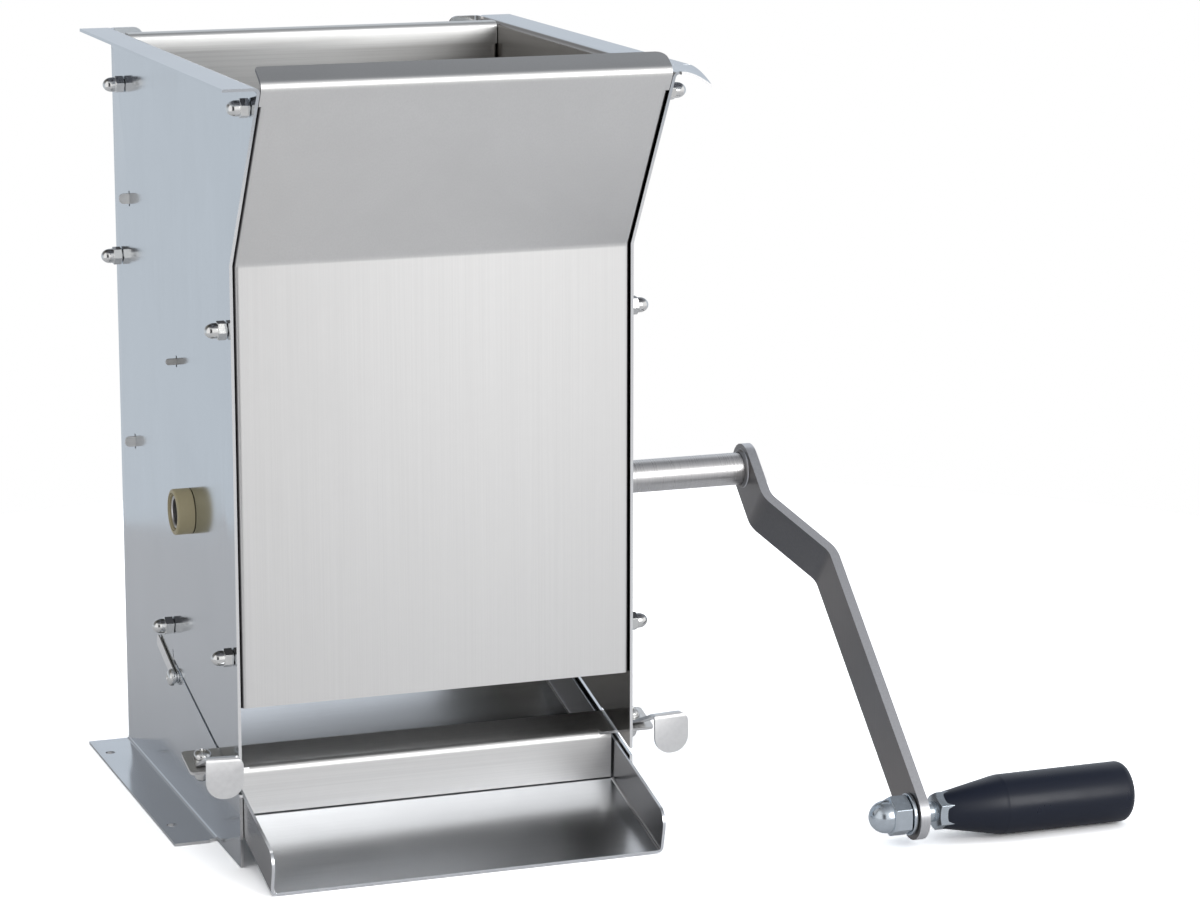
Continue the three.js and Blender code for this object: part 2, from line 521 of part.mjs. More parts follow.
// Front panel: a U of sheet that stands straight, then leans out, with a folded lip on top.
function frontPanel() {
  const across = folded([
    [-PANEL_OUTSIDE, PANEL_FLANGE], [-PANEL_OUTSIDE, 0], [PANEL_OUTSIDE, 0], [PANEL_OUTSIDE, PANEL_FLANGE],
  ]);
  const foldRadius = 5;
  const foldCentreZ = FLARE_START - foldRadius * Math.tan(FLARE_ANGLE / 2);
  const lean = [0, -Math.sin(FLARE_ANGLE), Math.cos(FLARE_ANGLE)];
  const stations = [{ angle: 0, z: PANEL_BOTTOM }];
  const steps = 4;
  for (let k = 0; k <= steps; k += 1) stations.push({ angle: FLARE_ANGLE * (k / steps), z: null });
  const straightTop = FLARE_LENGTH - foldRadius * Math.tan(FLARE_ANGLE / 2) - LIP_FOLD_RADIUS - SHEET;
  stations.push({ angle: FLARE_ANGLE, z: null, extra: straightTop });
  const rings = stations.map(({ angle, z, extra = 0 }) => across.map(([x, u]) => {
    const out = new THREE.Vector3(
      x,
      -foldRadius + (foldRadius + u) * Math.cos(angle),
      foldCentreZ + (foldRadius + u) * Math.sin(angle));
    if (z !== null) return new THREE.Vector3(x, u, z);
    return out.addScaledVector(new THREE.Vector3(...lean), extra);
  }));
  const flangeTop = WALL_HEIGHT - FLANGE_DROP;
  const behind = frontEdgeY(flangeTop) + 2 * SHEET;
  const above = prism([
    [behind, flangeTop], [behind + PANEL_FLANGE * 2, flangeTop],
    [behind + PANEL_FLANGE, flangeTop + 3 * PANEL_FLANGE],
    [behind - 3 * PANEL_FLANGE * Math.tan(FLARE_ANGLE), flangeTop + 3 * PANEL_FLANGE],
  ], -PANEL_OUTSIDE - 1, PANEL_OUTSIDE + 1, SIDE_VIEW);
  const shell = without(loft(rings), above);
  const fold = [0, FLARE_START];
  const top = [fold[0] + lean[1] * FLARE_LENGTH, fold[1] + lean[2] * FLARE_LENGTH];
  const lipEnd = [top[0] + Math.cos(FLARE_ANGLE) * LIP_LENGTH, top[1] + Math.sin(FLARE_ANGLE) * LIP_LENGTH];
  const overlap = LIP_LENGTH * 0.85;
  const below = [top[0] - lean[1] * overlap, top[1] - lean[2] * overlap];
  const lipView = frame([1, 0, 0], [0, Math.cos(FLARE_ANGLE), Math.sin(FLARE_ANGLE)], lean, [0, ...top]);
  const lipOutline = rounded([
    [-PANEL_OUTSIDE, -6], [PANEL_OUTSIDE, -6],
    [PANEL_OUTSIDE, LIP_LENGTH, LIP_CORNERS[1]], [-PANEL_OUTSIDE, LIP_LENGTH, LIP_CORNERS[0]],
  ]);
  const lipProfile = folded([lipEnd, top, below], SHEET, LIP_FOLD_RADIUS, 6);
  const lip = prism(lipProfile, -PANEL_OUTSIDE, PANEL_OUTSIDE, SIDE_VIEW)
    .intersect(prism(lipOutline, -LIP_LENGTH, 2 * SHEET, lipView));
  const bolts = PANEL_BOLTS.filter(({ y }) => y < PANEL_FLANGE);
  return without(joined(shell, lip), ...bolts.map(throughBolt));
}

// Skins matching rings of points into one closed body with flat ends.
function loft(rings) {
  const count = rings[0].length;
  const contour = rings[0].map((p) => new THREE.Vector2(p.x, p.y));
  const caps = THREE.ShapeUtils.triangulateShape(contour, []);
  const positions = rings.flat().flatMap((p) => [p.x, p.y, p.z]);
  const index = [];
  for (let r = 0; r + 1 < rings.length; r += 1) {
    for (let i = 0; i < count; i += 1) {
      const [a, b] = [r * count + i, r * count + ((i + 1) % count)];
      index.push(a, b, b + count, a, b + count, a + count);
    }
  }
  const last = (rings.length - 1) * count;
  const forward = THREE.ShapeUtils.isClockWise(contour);
  caps.forEach(([a, b, c]) => {
    if (forward) index.push(a, b, c, last + c, last + b, last + a);
    else index.push(c, b, a, last + a, last + b, last + c);
  });
  const geometry = new THREE.BufferGeometry();
  geometry.setAttribute('position', new THREE.Float32BufferAttribute(positions, 3));
  geometry.setIndex(index);
  return solidOf(geometry);
}

// Back panel: recessed, its side flanges and its top rim folded to the rear.
function backPanel() {
  const top = WALL_HEIGHT - GAP;
  const across = folded([
    [PANEL_OUTSIDE, BACK_PLANE + BACK_FLANGE], [PANEL_OUTSIDE, BACK_PLANE],
    [-PANEL_OUTSIDE, BACK_PLANE], [-PANEL_OUTSIDE, BACK_PLANE + BACK_FLANGE],
  ].reverse());
  const sides = prism(across, BACK_BOTTOM, top - SHEET - BEND_RADIUS - GAP, TOP_VIEW);
  const rim = prism(
    folded([[BACK_PLANE, top - BACK_RIM * 1.3], [BACK_PLANE, top], [BACK_PLANE + BACK_RIM, top]].reverse()),
    -PANEL_OUTSIDE, PANEL_OUTSIDE, SIDE_VIEW);
  const reach = WALL_OUTSIDE + TAB_REACH;
  const tip = TAB_HEIGHT * TAB_ROUNDING;
  const tabs = BACK_TABS_Z.map((z) => prism(rounded([
    [-reach, z - TAB_HEIGHT / 2, tip], [reach, z - TAB_HEIGHT / 2, tip],
    [reach, z + TAB_HEIGHT / 2, tip], [-reach, z + TAB_HEIGHT / 2, tip],
  ]), -BACK_PLANE - SHEET, -BACK_PLANE, FRONT_VIEW));
  const bolts = PANEL_BOLTS.filter(({ y }) => y > BACK_PLANE);
  return without(joined(sides, rim, ...tabs), ...bolts.map(throughBolt));
}

// Sloping guide that brings the fruit forward onto the drum, with an upright apron and lip.
function guidePlate() {
  const face = BACK_PLANE - GAP - SHEET;
  const [y, z] = GUIDE_EDGE;
  const plate = prism(
    folded([[y, z - GUIDE_APRON], [y, z], [face, GUIDE_TOP], [face, GUIDE_TOP + GUIDE_LIP]]),
    -PANEL_OUTSIDE, PANEL_OUTSIDE, SIDE_VIEW);
  const reach = WALL_OUTSIDE + TAB_REACH;
  const tip = GUIDE_TAB * TAB_ROUNDING;
  const [tabY, tabZ] = guideTabAt;
  const tabs = prism(rounded([
    [-reach, tabZ - GUIDE_TAB / 2, tip], [reach, tabZ - GUIDE_TAB / 2, tip],
    [reach, tabZ + GUIDE_TAB / 2, tip], [-reach, tabZ + GUIDE_TAB / 2, tip],
  ]), -tabY - SHEET / 2, -tabY + SHEET / 2, FRONT_VIEW);
  return joined(plate, tabs);
}

// Breaker plate: lies against the front panel and stands out to just clear the drum teeth.
function breakerPlate() {
  const wall = SHEET + GAP;
  const face = SHAFT_Y - BLADE_TIP_RADIUS - BREAKER_STANDOFF - SHEET;
  const [high, low] = [SHAFT_Z + BREAKER_FACE / 2, SHAFT_Z - BREAKER_FACE / 2];
  const web = folded([
    [wall, BREAKER_TOP], [wall, BREAKER_TOP - BREAKER_COLLAR], [face, high], [face, low],
    [wall, low - BREAKER_FACE], [wall, BREAKER_BOTTOM],
  ]);
  const body = prism(web, -LINER_OUTSIDE, LINER_OUTSIDE, SIDE_VIEW);
  const cheek = [
    [wall, BREAKER_BOTTOM], [PANEL_FLANGE, BREAKER_BOTTOM],
    [PANEL_FLANGE, low - BREAKER_FACE * 0.27], [face, low],
    [face, high], [PANEL_FLANGE, high + BREAKER_FACE * 0.4],
    [PANEL_FLANGE, BREAKER_TOP], [wall, BREAKER_TOP],
  ];
  const cheeks = [-1, 1].map((side) => prism(
    cheek, ...[side * LINER_INSIDE, side * LINER_OUTSIDE].sort((a, b) => a - b), SIDE_VIEW));
  const bolts = PANEL_BOLTS.filter(({ seat }) => seat === LINER_INSIDE);
  const fold = SHEET + BEND_RADIUS;
  const plan = rounded([
    [-LINER_OUTSIDE, wall, fold], [LINER_OUTSIDE, wall, fold],
    [LINER_OUTSIDE, SHAFT_Y], [-LINER_OUTSIDE, SHAFT_Y],
  ]);
  const rounding = prism(plan, BREAKER_BOTTOM - 1, BREAKER_TOP + 1, TOP_VIEW);
  return without(joined(body, ...cheeks).intersect(rounding), ...bolts.map(throughBolt));
}

// Deflector behind the drum: closes the back and drops the pulp on the chute.
function deflector() {
  const face = BACK_PLANE - GAP - SHEET;
  const web = prism(
    folded([DEFLECTOR_EDGE, [face, DEFLECTOR_TOP], [face, DEFLECTOR_TOP + DEFLECTOR_LIP]]),
    -PANEL_OUTSIDE, PANEL_OUTSIDE, SIDE_VIEW);
  const slope = (DEFLECTOR_TOP - DEFLECTOR_EDGE[1]) / (face - DEFLECTOR_EDGE[0]);
  const [length, height] = DEFLECTOR_EAR;
  const [y, z] = DEFLECTOR_EDGE;
  const ear = rounded([
    [y - 6, z + height, 4], [y - 6, z + 5, 3], [y, z + 1], [y + length, z + slope * length + 1],
    [y + length, z + slope * length + 2], [y + length * 0.7, z + height, 4],
  ]);
  const ears = [-1, 1].map((side) => prism(
    ear, ...[side * PANEL_INSIDE, side * PANEL_OUTSIDE].sort((a, b) => a - b), SIDE_VIEW));
  return without(joined(web, ...ears), throughBolt({ y: LOW_BOLT[0], z: LOW_BOLT[1] }));
}

const bothSides = (make) => [-1, 1].map((side) => make(side));
const shaftAxis = [0, SHAFT_Y, SHAFT_Z];

const panelBolt = (side, { y, z, seat }) => headedScrew(
  BOLT_RADIUS, WALL_OUTSIDE - seat + NUT_HEX_HEIGHT + GAP, BOLT_HEAD_RADIUS, BOLT_HEAD_HEIGHT,
  [side * (seat - GAP), y, z], [side, 0, 0]);

const panelNut = (side, { y, z }) => domeNut(
  NUT_ACROSS_FLATS, NUT_HEX_HEIGHT, NUT_HEIGHT, BOLT_RADIUS,
  [side * (WALL_OUTSIDE + GAP), y, z], [side, 0, 0]);

// Bush: a head outside the wall and a neck through it, bored for the shaft.
const bush = (side) => turned([
  [SHAFT_RADIUS + GAP, WALL_INSIDE - BUSH_NECK], [BUSH_NECK_RADIUS, WALL_INSIDE - BUSH_NECK],
  [BUSH_NECK_RADIUS, WALL_OUTSIDE + GAP], [BUSH_RADIUS, WALL_OUTSIDE + GAP],
  [BUSH_RADIUS, WALL_OUTSIDE + BUSH_REACH - 0.8], [BUSH_RADIUS - 0.8, WALL_OUTSIDE + BUSH_REACH],
  [SHAFT_RADIUS + GAP, WALL_OUTSIDE + BUSH_REACH], [SHAFT_RADIUS + GAP, WALL_INSIDE - BUSH_NECK],
], shaftAxis, [side, 0, 0], ROUND_BORE);

// The crank body is made around its own axis, with the arm hanging straight down.
const onAxis = [0, 0, 0];
const shaft = () => {
  const leftEnd = -(WALL_OUTSIDE + BUSH_REACH - SHAFT_RECESS);
  return tube(SHAFT_RADIUS, SHAFT_BORE, leftEnd, ARM_X + ARM_THICKNESS, onAxis, [1, 0, 0], ROUND_BORE);
};

// A box that stands radially on the drum axis, for the blade slots.
function radialSlot(angle, from, to, halfLength, halfThickness) {
  const outward = [0, Math.cos(angle), Math.sin(angle)];
  const view = frame(outward, [0, -Math.sin(angle), Math.cos(angle)], [1, 0, 0]);
  return prism(rectangle(from, -halfThickness, to, halfThickness), -halfLength, halfLength, view);
}

const bladeAngle = (i) => (2 * Math.PI * i) / BLADE_COUNT + Math.PI / BLADE_COUNT;
const bladeSlots = (from, to) => Array.from({ length: BLADE_COUNT }, (_, i) => radialSlot(
  bladeAngle(i), from, to, DRUM_LENGTH / 2 - DISC_THICKNESS - GAP, BLADE_THICKNESS / 2 + GAP));

function drumShell() {
  const half = DRUM_LENGTH / 2;
  const shell = tube(DRUM_RADIUS, DRUM_RADIUS - DRUM_SHEET, -half, half, onAxis, [1, 0, 0], DRUM_ROUND);
  return without(shell, ...bladeSlots(DRUM_RADIUS - 5, DRUM_RADIUS + 5));
}

// End disc pushed into the drum, with a hub that reaches out to the bush and keeps the drum centred.
const drumDisc = (side) => {
  const bore = SHAFT_RADIUS + GAP;
  const rim = DRUM_RADIUS - DRUM_SHEET - GAP;
  const face = DRUM_LENGTH / 2;
  const hubEnd = WALL_INSIDE - BUSH_NECK - GAP;
  return turned([
    [bore, face - HUB_LENGTH], [HUB_RADIUS, face - HUB_LENGTH], [HUB_RADIUS, face - DISC_THICKNESS],
    [rim, face - DISC_THICKNESS], [rim, face], [HUB_RADIUS, face], [HUB_RADIUS, hubEnd],
    [bore, hubEnd], [bore, face - HUB_LENGTH],
  ], onAxis, [side, 0, 0], DRUM_ROUND);
};

// Toothed blade: a strip through a slot of the drum, every other one shifted by half a tooth.
function blade(i) {
  const half = DRUM_LENGTH / 2 - DISC_THICKNESS - 2 * GAP;
  const valley = BLADE_TIP_RADIUS - TOOTH_DEPTH;
  const outline = [[-half, BLADE_ROOT_RADIUS], [half, BLADE_ROOT_RADIUS], [half, valley]];
  const shift = (i % 2) * TOOTH_PITCH * 0.5;
  const count = Math.floor((2 * half - TOOTH_PITCH) / TOOTH_PITCH);
  const start = half - TOOTH_PITCH * 0.4 - shift;
  for (let k = 0; k < count; k += 1) {
    const right = start - k * TOOTH_PITCH;
    outline.push([right, valley], [right - TOOTH_PITCH * 0.35, BLADE_TIP_RADIUS]);
    outline.push([right - TOOTH_PITCH * 0.55, BLADE_TIP_RADIUS], [right - TOOTH_PITCH * 0.9, valley]);
  }
  outline.push([-half, valley]);
  const angle = bladeAngle(i);
  const outward = [0, Math.cos(angle), Math.sin(angle)];
  const view = frame([1, 0, 0], outward, [0, -Math.sin(angle), Math.cos(angle)]);
  return prism(outline, -BLADE_THICKNESS / 2, BLADE_THICKNESS / 2, view);
}

// Crank arm: a flat bar with rounded ends and a double bend that carries the handle outward.
function crankArm() {
  const inner = ARM_X;
  const outer = ARM_X + ARM_JOGGLE;
  const reach = ARM_WIDTH / 2;
  const profile = folded([
    [inner, reach + 1], [inner, -JOGGLE_START], [outer, -JOGGLE_END], [outer, -CRANK_RADIUS - reach - 1],
  ], ARM_THICKNESS, ARM_BEND_RADIUS, 6);
  const bar = prism(profile, -reach - 1, reach + 1, FRONT_VIEW);
  const outline = [];
  const steps = 12;
  for (let k = 0; k <= steps; k += 1) {
    const angle = Math.PI * (k / steps);
    outline.push([reach * Math.cos(angle), reach * Math.sin(angle)]);
  }
  for (let k = 0; k <= steps; k += 1) {
    const angle = Math.PI * (k / steps);
    outline.push([-reach * Math.cos(angle), -CRANK_RADIUS - reach * Math.sin(angle)]);
  }
  const trimmed = bar.intersect(prism(outline, inner - 5, outer + ARM_THICKNESS + 5, SIDE_VIEW));
  return without(
    joined(trimmed, weldBead()),
    rod(SHAFT_RADIUS + GAP, inner - 5, inner + ARM_THICKNESS + 5, onAxis, [1, 0, 0], ROUND_BORE),
    rod(SPINDLE_RADIUS + GAP, outer - 5, outer + ARM_THICKNESS + 5, [0, 0, -CRANK_RADIUS], [1, 0, 0], ROUND));
}

// Weld fillet that runs round the shaft on the arm's inner face.
const weldBead = () => {
  const bore = SHAFT_RADIUS + GAP;
  return turned([
    [bore, ARM_X + 1], [bore, ARM_X - WELD_WIDTH], [bore + WELD_WIDTH * 0.4, ARM_X - WELD_WIDTH * 0.8],
    [bore + WELD_WIDTH * 0.9, ARM_X - WELD_WIDTH * 0.25], [bore + WELD_WIDTH, ARM_X],
    [bore + WELD_WIDTH, ARM_X + 1], [bore, ARM_X + 1],
  ], onAxis, [1, 0, 0], ROUND_BORE);
};

const armOuter = ARM_X + ARM_JOGGLE + ARM_THICKNESS;
const handleAxis = [0, 0, -CRANK_RADIUS];
const gripStart = armOuter + GAP + COLLAR_HEX_HEIGHT + GAP;

// Spindle: a stud through the arm with a hexagon collar, which the grip turns on.
const spindle = () => {
  const threadEnd = ARM_X + ARM_JOGGLE - END_NUT_HEX_HEIGHT;
  const tip = gripStart + GRIP_LENGTH - GRIP_SOLID_END;
  const collar = [armOuter + GAP, armOuter + GAP + COLLAR_HEX_HEIGHT];
  return joined(
    rod(SPINDLE_RADIUS, threadEnd, tip, handleAxis, [1, 0, 0], ROUND),
    hexagon(COLLAR_FLATS, ...collar, handleAxis, [1, 0, 0]));
};

const endWasher = () => tube(
  END_WASHER_RADIUS, SPINDLE_RADIUS + GAP, GAP, GAP + END_WASHER_THICKNESS,
  [ARM_X + ARM_JOGGLE, 0, -CRANK_RADIUS], [-1, 0, 0], ROUND);

const endNut = () => domeNut(
  END_NUT_FLATS, END_NUT_HEX_HEIGHT, END_NUT_HEIGHT, SPINDLE_RADIUS,
  [ARM_X + ARM_JOGGLE - 2 * GAP - END_WASHER_THICKNESS, 0, -CRANK_RADIUS], [-1, 0, 0]);

// Grip: a cone that widens from the collar, then a nearly straight barrel with a rounded end.
function grip() {
  const bore = SPINDLE_RADIUS + GAP;
  const boreEnd = GRIP_LENGTH - GRIP_SOLID_END + GAP;
  const profile = [
    [bore, 0], [GRIP_NECK_RADIUS - 0.8, 0], [GRIP_NECK_RADIUS, 0.8],
    [GRIP_SHOULDER_RADIUS - 0.5, GRIP_CONE - 3], [GRIP_SHOULDER_RADIUS, GRIP_CONE],
    [GRIP_RADIUS, GRIP_LENGTH - GRIP_ROUNDING],
  ];
  const steps = 4;
  for (let k = 1; k <= steps; k += 1) {
    const angle = (Math.PI / 2) * (k / steps);
    profile.push([
      GRIP_RADIUS - GRIP_ROUNDING * (1 - Math.cos(angle)),
      GRIP_LENGTH - GRIP_ROUNDING * (1 - Math.sin(angle)),
    ]);
  }
  profile.push([0, GRIP_LENGTH], [0, boreEnd], [bore, boreEnd], [bore, 0]);
  return turned(profile, [gripStart, 0, -CRANK_RADIUS], [1, 0, 0], ROUND);
}

// Chute: a floor with two cheeks, open at the front and at the rear.
function chute() {
  const profile = folded([
    [-PANEL_OUTSIDE, CHUTE_FLOOR + CHEEK_HEIGHT], [-PANEL_OUTSIDE, CHUTE_FLOOR - SHEET],
    [PANEL_OUTSIDE, CHUTE_FLOOR - SHEET], [PANEL_OUTSIDE, CHUTE_FLOOR + CHEEK_HEIGHT],
  ]);
  const lengthwise = frame([1, 0, 0], CHUTE_UP, CHUTE_BACK.map((v) => -v), CHUTE_ORIGIN);
  const channel = prism(profile, -CHUTE_REAR, -CHUTE_FRONT, lengthwise);
  const outline = rounded([
    [CHUTE_FRONT, CHUTE_FLOOR - SHEET - 1], [CHUTE_REAR, CHUTE_FLOOR - SHEET - 1],
    [CHUTE_REAR, CHUTE_FLOOR + CHEEK_HEIGHT, 3], [CHUTE_FRONT, CHUTE_FLOOR + CHEEK_HEIGHT, CHEEK_CORNER],
  ]);
  const trimmed = channel.intersect(prism(outline, -WALL_INSIDE, WALL_INSIDE, CHUTE_SIDE));
  const screwAt = [0, ...chuteScrewAt];
  const holes = rod(PIVOT_RADIUS + GAP, -WALL_INSIDE, WALL_INSIDE, screwAt, [1, 0, 0], SMALL_ROUND);
  return without(trimmed, holes);
}

// Rake: a bar in the slits with a front face down to the chute floor and an ear on each side.
// It is made with the slit plane level and then tilted into place.
function rake() {
  const drop = CHUTE_FLOOR + 2 * GAP;
  const lean = RAKE_LEAN - CHUTE_ANGLE;
  const ridge = [RAKE_FRONT, SHEET / 2];
  const foot = [RAKE_FRONT + (SHEET / 2 - drop) * Math.tan(lean), drop];
  const half = PANEL_INSIDE - 3 * GAP;
  const bent = folded([[RAKE_REAR, SHEET / 2], ridge, foot], SHEET, RAKE_FOLD_RADIUS, 6);
  const face = prism(bent, -half, half, SIDE_VIEW);
  const reach = WALL_OUTSIDE + RAKE_REACH;
  const inside = half - 6;
  const plate = prism(rounded([
    [-reach, RAKE_FRONT, EAR_CORNER], [-inside, RAKE_FRONT], [-inside, RAKE_FRONT + 5],
    [inside, RAKE_FRONT + 5], [inside, RAKE_FRONT], [reach, RAKE_FRONT, EAR_CORNER],
    [reach, RAKE_REAR, EAR_CORNER], [-reach, RAKE_REAR, EAR_CORNER],
  ]), -SHEET / 2, SHEET / 2, TOP_VIEW);
  const [out, along] = LEVER_PIVOT;
  const holes = bothSides((side) => rod(
    PIVOT_RADIUS + GAP, -5, 5, [side * (WALL_OUTSIDE + out), along, 0], [0, 0, 1], SMALL_ROUND));
  return placed(without(joined(face, plate), ...holes), CHUTE_TOP);
}

function pivotAt(side, off) {
  const [y, z] = inChute(LEVER_PIVOT[1], off);
  return [side * (WALL_OUTSIDE + LEVER_PIVOT[0]), y, z];
}

// Thumb lever, made around its pivot: x to the right, y backward along the slit, z off it.
function thumbLever() {
  const low = SHEET / 2 + GAP;
  const armEnd = [
    -LEVER_FOOT - LEVER_ARM * Math.cos(LEVER_RISE), low + LEVER_ARM * Math.sin(LEVER_RISE),
  ];
  const drop = [-Math.sin(CHUTE_ANGLE), -Math.cos(CHUTE_ANGLE)];
  const [tabWidth, tabHeight] = LEVER_TAB;
  const tabEnd = [armEnd[0] + drop[0] * tabHeight, armEnd[1] + drop[1] * tabHeight];
  const strip = folded([[LEVER_EYE + 1, low], [-LEVER_FOOT, low], armEnd, tabEnd].reverse(), LEVER_SHEET, 1);
  const left = -LEVER_ARM_WIDTH / 2;
  const right = LEVER_TAB_OFFSET + tabWidth / 2;
  const bent = prism(strip, left - tabWidth, right + 2, SIDE_VIEW);
  const armPlan = rounded([
    [left, LEVER_EYE * 0.9, LEVER_EYE * 0.75], [left, armEnd[0] + 4],
    [-left, armEnd[0] + 4], [-left, LEVER_EYE * 0.9, LEVER_EYE * 0.75],
  ], 6);
  const arm = bent.intersect(prism(armPlan, 0, LEVER_ARM, TOP_VIEW));
  const tabView = frame([1, 0, 0], [0, -drop[0], -drop[1]], [0, drop[1], -drop[0]], [0, ...armEnd]);
  const tabLeft = LEVER_TAB_OFFSET - tabWidth / 2;
  const tabPlan = rounded([
    [tabLeft, 0.6, 1.5], [tabLeft, -tabHeight, tabWidth * 0.46],
    [right, -tabHeight, tabWidth * 0.46], [right, 0.6, tabWidth * 0.25],
  ], 8);
  const tab = bent.intersect(prism(tabPlan, -6, 6, tabView));
  return without(joined(arm, tab), rod(PIVOT_RADIUS + GAP, 0, LEVER_ARM, onAxis, [0, 0, 1], SMALL_ROUND));
}

// The pivot screw passes down through the lever and the ear into a dome nut.
const pivotScrew = () => headedScrew(
  PIVOT_RADIUS, SHEET + LEVER_SHEET + 2 * GAP + PIVOT_NUT_HEX_HEIGHT, PAN_RADIUS, PAN_HEIGHT,
  [0, 0, SHEET / 2 + 2 * GAP + LEVER_SHEET], [0, 0, -1], true);
const pivotNut = () => domeNut(
  PIVOT_NUT_FLATS, PIVOT_NUT_HEX_HEIGHT, PIVOT_NUT_HEIGHT, PIVOT_RADIUS,
  [0, 0, -SHEET / 2 - GAP], [0, 0, -1]);

// Screw that holds the chute to the wall, with the catch leaf under its head.
const catchSeat = WALL_OUTSIDE + GAP + CATCH_SHEET + GAP;
const chuteScrew = (side) => headedScrew(
  PIVOT_RADIUS, catchSeat - PANEL_INSIDE + 2, PAN_RADIUS, PAN_HEIGHT,
  [side * catchSeat, ...chuteScrewAt], [-side, 0, 0], true);

// Catch leaf: a strip that lies on the wall, its eye under the screw's head.
function catchLeaf() {
  const [y, z] = chuteScrewAt;
  const angle = CHUTE_ANGLE + CATCH_RISE;
  const along = [0, Math.cos(angle), Math.sin(angle)];
  const across = [0, -Math.sin(angle), Math.cos(angle)];
  const inner = WALL_OUTSIDE + GAP;
  const half = CATCH_WIDTH / 2;
  const plan = rounded([
    [-half, -half, half * 0.9], [CATCH_REACH, -half, half * 0.6],
    [CATCH_REACH, half, half * 0.6], [-half, half, half * 0.9],
  ]);
  const strip = prism(plan, inner, inner + CATCH_SHEET, frame(along, across, [1, 0, 0], [0, y, z]));
  return without(
    strip, rod(PIVOT_RADIUS + GAP, inner - 1, inner + CATCH_SHEET + 1, [0, y, z], [1, 0, 0], SMALL_ROUND));
}

// The assembly
const machine = new THREE.Group();

function add(parent, name, solid, finish) {
  const mesh = new THREE.Mesh(geometryOf(solid), finish);
  mesh.name = name;
  parent.add(mesh);
}

const SIDES = [['left', -1], ['right', 1]];

const housing = new THREE.Group();
add(housing, 'left_wall', mirrored(sideWall(false)), WALL_FINISH);
add(housing, 'right_wall', sideWall(true), WALL_FINISH);
add(housing, 'front_panel', frontPanel(), PANEL_FINISH);
add(housing, 'back_panel', backPanel(), PANEL_FINISH);
add(housing, 'guide_plate', guidePlate(), PANEL_FINISH);
add(housing, 'breaker_plate', breakerPlate(), PANEL_FINISH);
add(housing, 'rear_deflector', deflector(), PANEL_FINISH);
add(housing, 'chute', chute(), PANEL_FINISH);
SIDES.forEach(([label, side]) => {
  PANEL_BOLTS.forEach((bolt) => {
    add(housing, `${label}_${bolt.place}_bolt`, panelBolt(side, bolt), PLATED_FINISH);
    add(housing, `${label}_${bolt.place}_nut`, panelNut(side, bolt), PLATED_FINISH);
  });
  add(housing, `${label}_bush`, bush(side), NYLON_FINISH);
  add(housing, `${label}_chute_screw`, chuteScrew(side), PLATED_FINISH);
  add(housing, `${label}_catch_leaf`, side < 0 ? mirrored(catchLeaf()) : catchLeaf(), PLATED_FINISH);
});
machine.add(housing);

const crank = new THREE.Group();
crank.position.set(...shaftAxis);
crank.rotation.x = CRANK_REST;
add(crank, 'shaft', shaft(), SHAFT_FINISH);
add(crank, 'drum_shell', drumShell(), DRUM_FINISH);
SIDES.forEach(([label, side]) => add(crank, `${label}_drum_disc`, drumDisc(side), DRUM_FINISH));
for (let i = 0; i < BLADE_COUNT; i += 1) add(crank, `drum_blade_${i + 1}`, blade(i), DRUM_FINISH);
add(crank, 'crank_arm', crankArm(), SHAFT_FINISH);
add(crank, 'handle_spindle', spindle(), PLATED_FINISH);
add(crank, 'handle_washer', endWasher(), PLATED_FINISH);
add(crank, 'handle_nut', endNut(), PLATED_FINISH);
add(crank, 'handle_grip', grip(), GRIP_FINISH);
machine.add(crank);

const slider = new THREE.Group();
add(slider, 'rake', rake(), PANEL_FINISH);
const LEVER_TURNS = { left: LEVER_LEFT_TURN, right: LEVER_RIGHT_TURN };
SIDES.forEach(([label, side]) => {
  const pivot = new THREE.Group();
  pivot.position.set(...pivotAt(side, 0));
  pivot.rotation.x = CHUTE_ANGLE;
  const turning = new THREE.Group();
  turning.rotation.z = LEVER_TURNS[label];
  add(turning, `${label}_thumb_lever`, thumbLever(), PLATED_FINISH);
  pivot.add(turning);
  add(pivot, `${label}_lever_screw`, pivotScrew(), PLATED_FINISH);
  add(pivot, `${label}_lever_nut`, pivotNut(), PLATED_FINISH);
  slider.add(pivot);
});
machine.add(slider);

// The origin lies on the table, in the middle of the rectangle that the whole machine covers.
const scratter = new THREE.Group();
scratter.name = 'apple_scratter';
const bounds = new THREE.Box3().setFromObject(machine, true);
const middle = bounds.getCenter(new THREE.Vector3());
machine.position.set(-middle.x, -middle.y, -bounds.min.z);
scratter.add(machine);

export default scratter;
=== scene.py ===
"""Looks of a hand-cranked apple scratter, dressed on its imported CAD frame.

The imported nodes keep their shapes. Turned and moulded pieces get finer meshes that stand
for their nodes. Lengths are in millimetres in the dataclasses and metres in Blender.
"""

from __future__ import annotations

import json
import logging
import math
from collections.abc import Iterable, Sequence
from dataclasses import dataclass
from enum import Enum

import bmesh
import bpy
from mathutils import Matrix, Vector

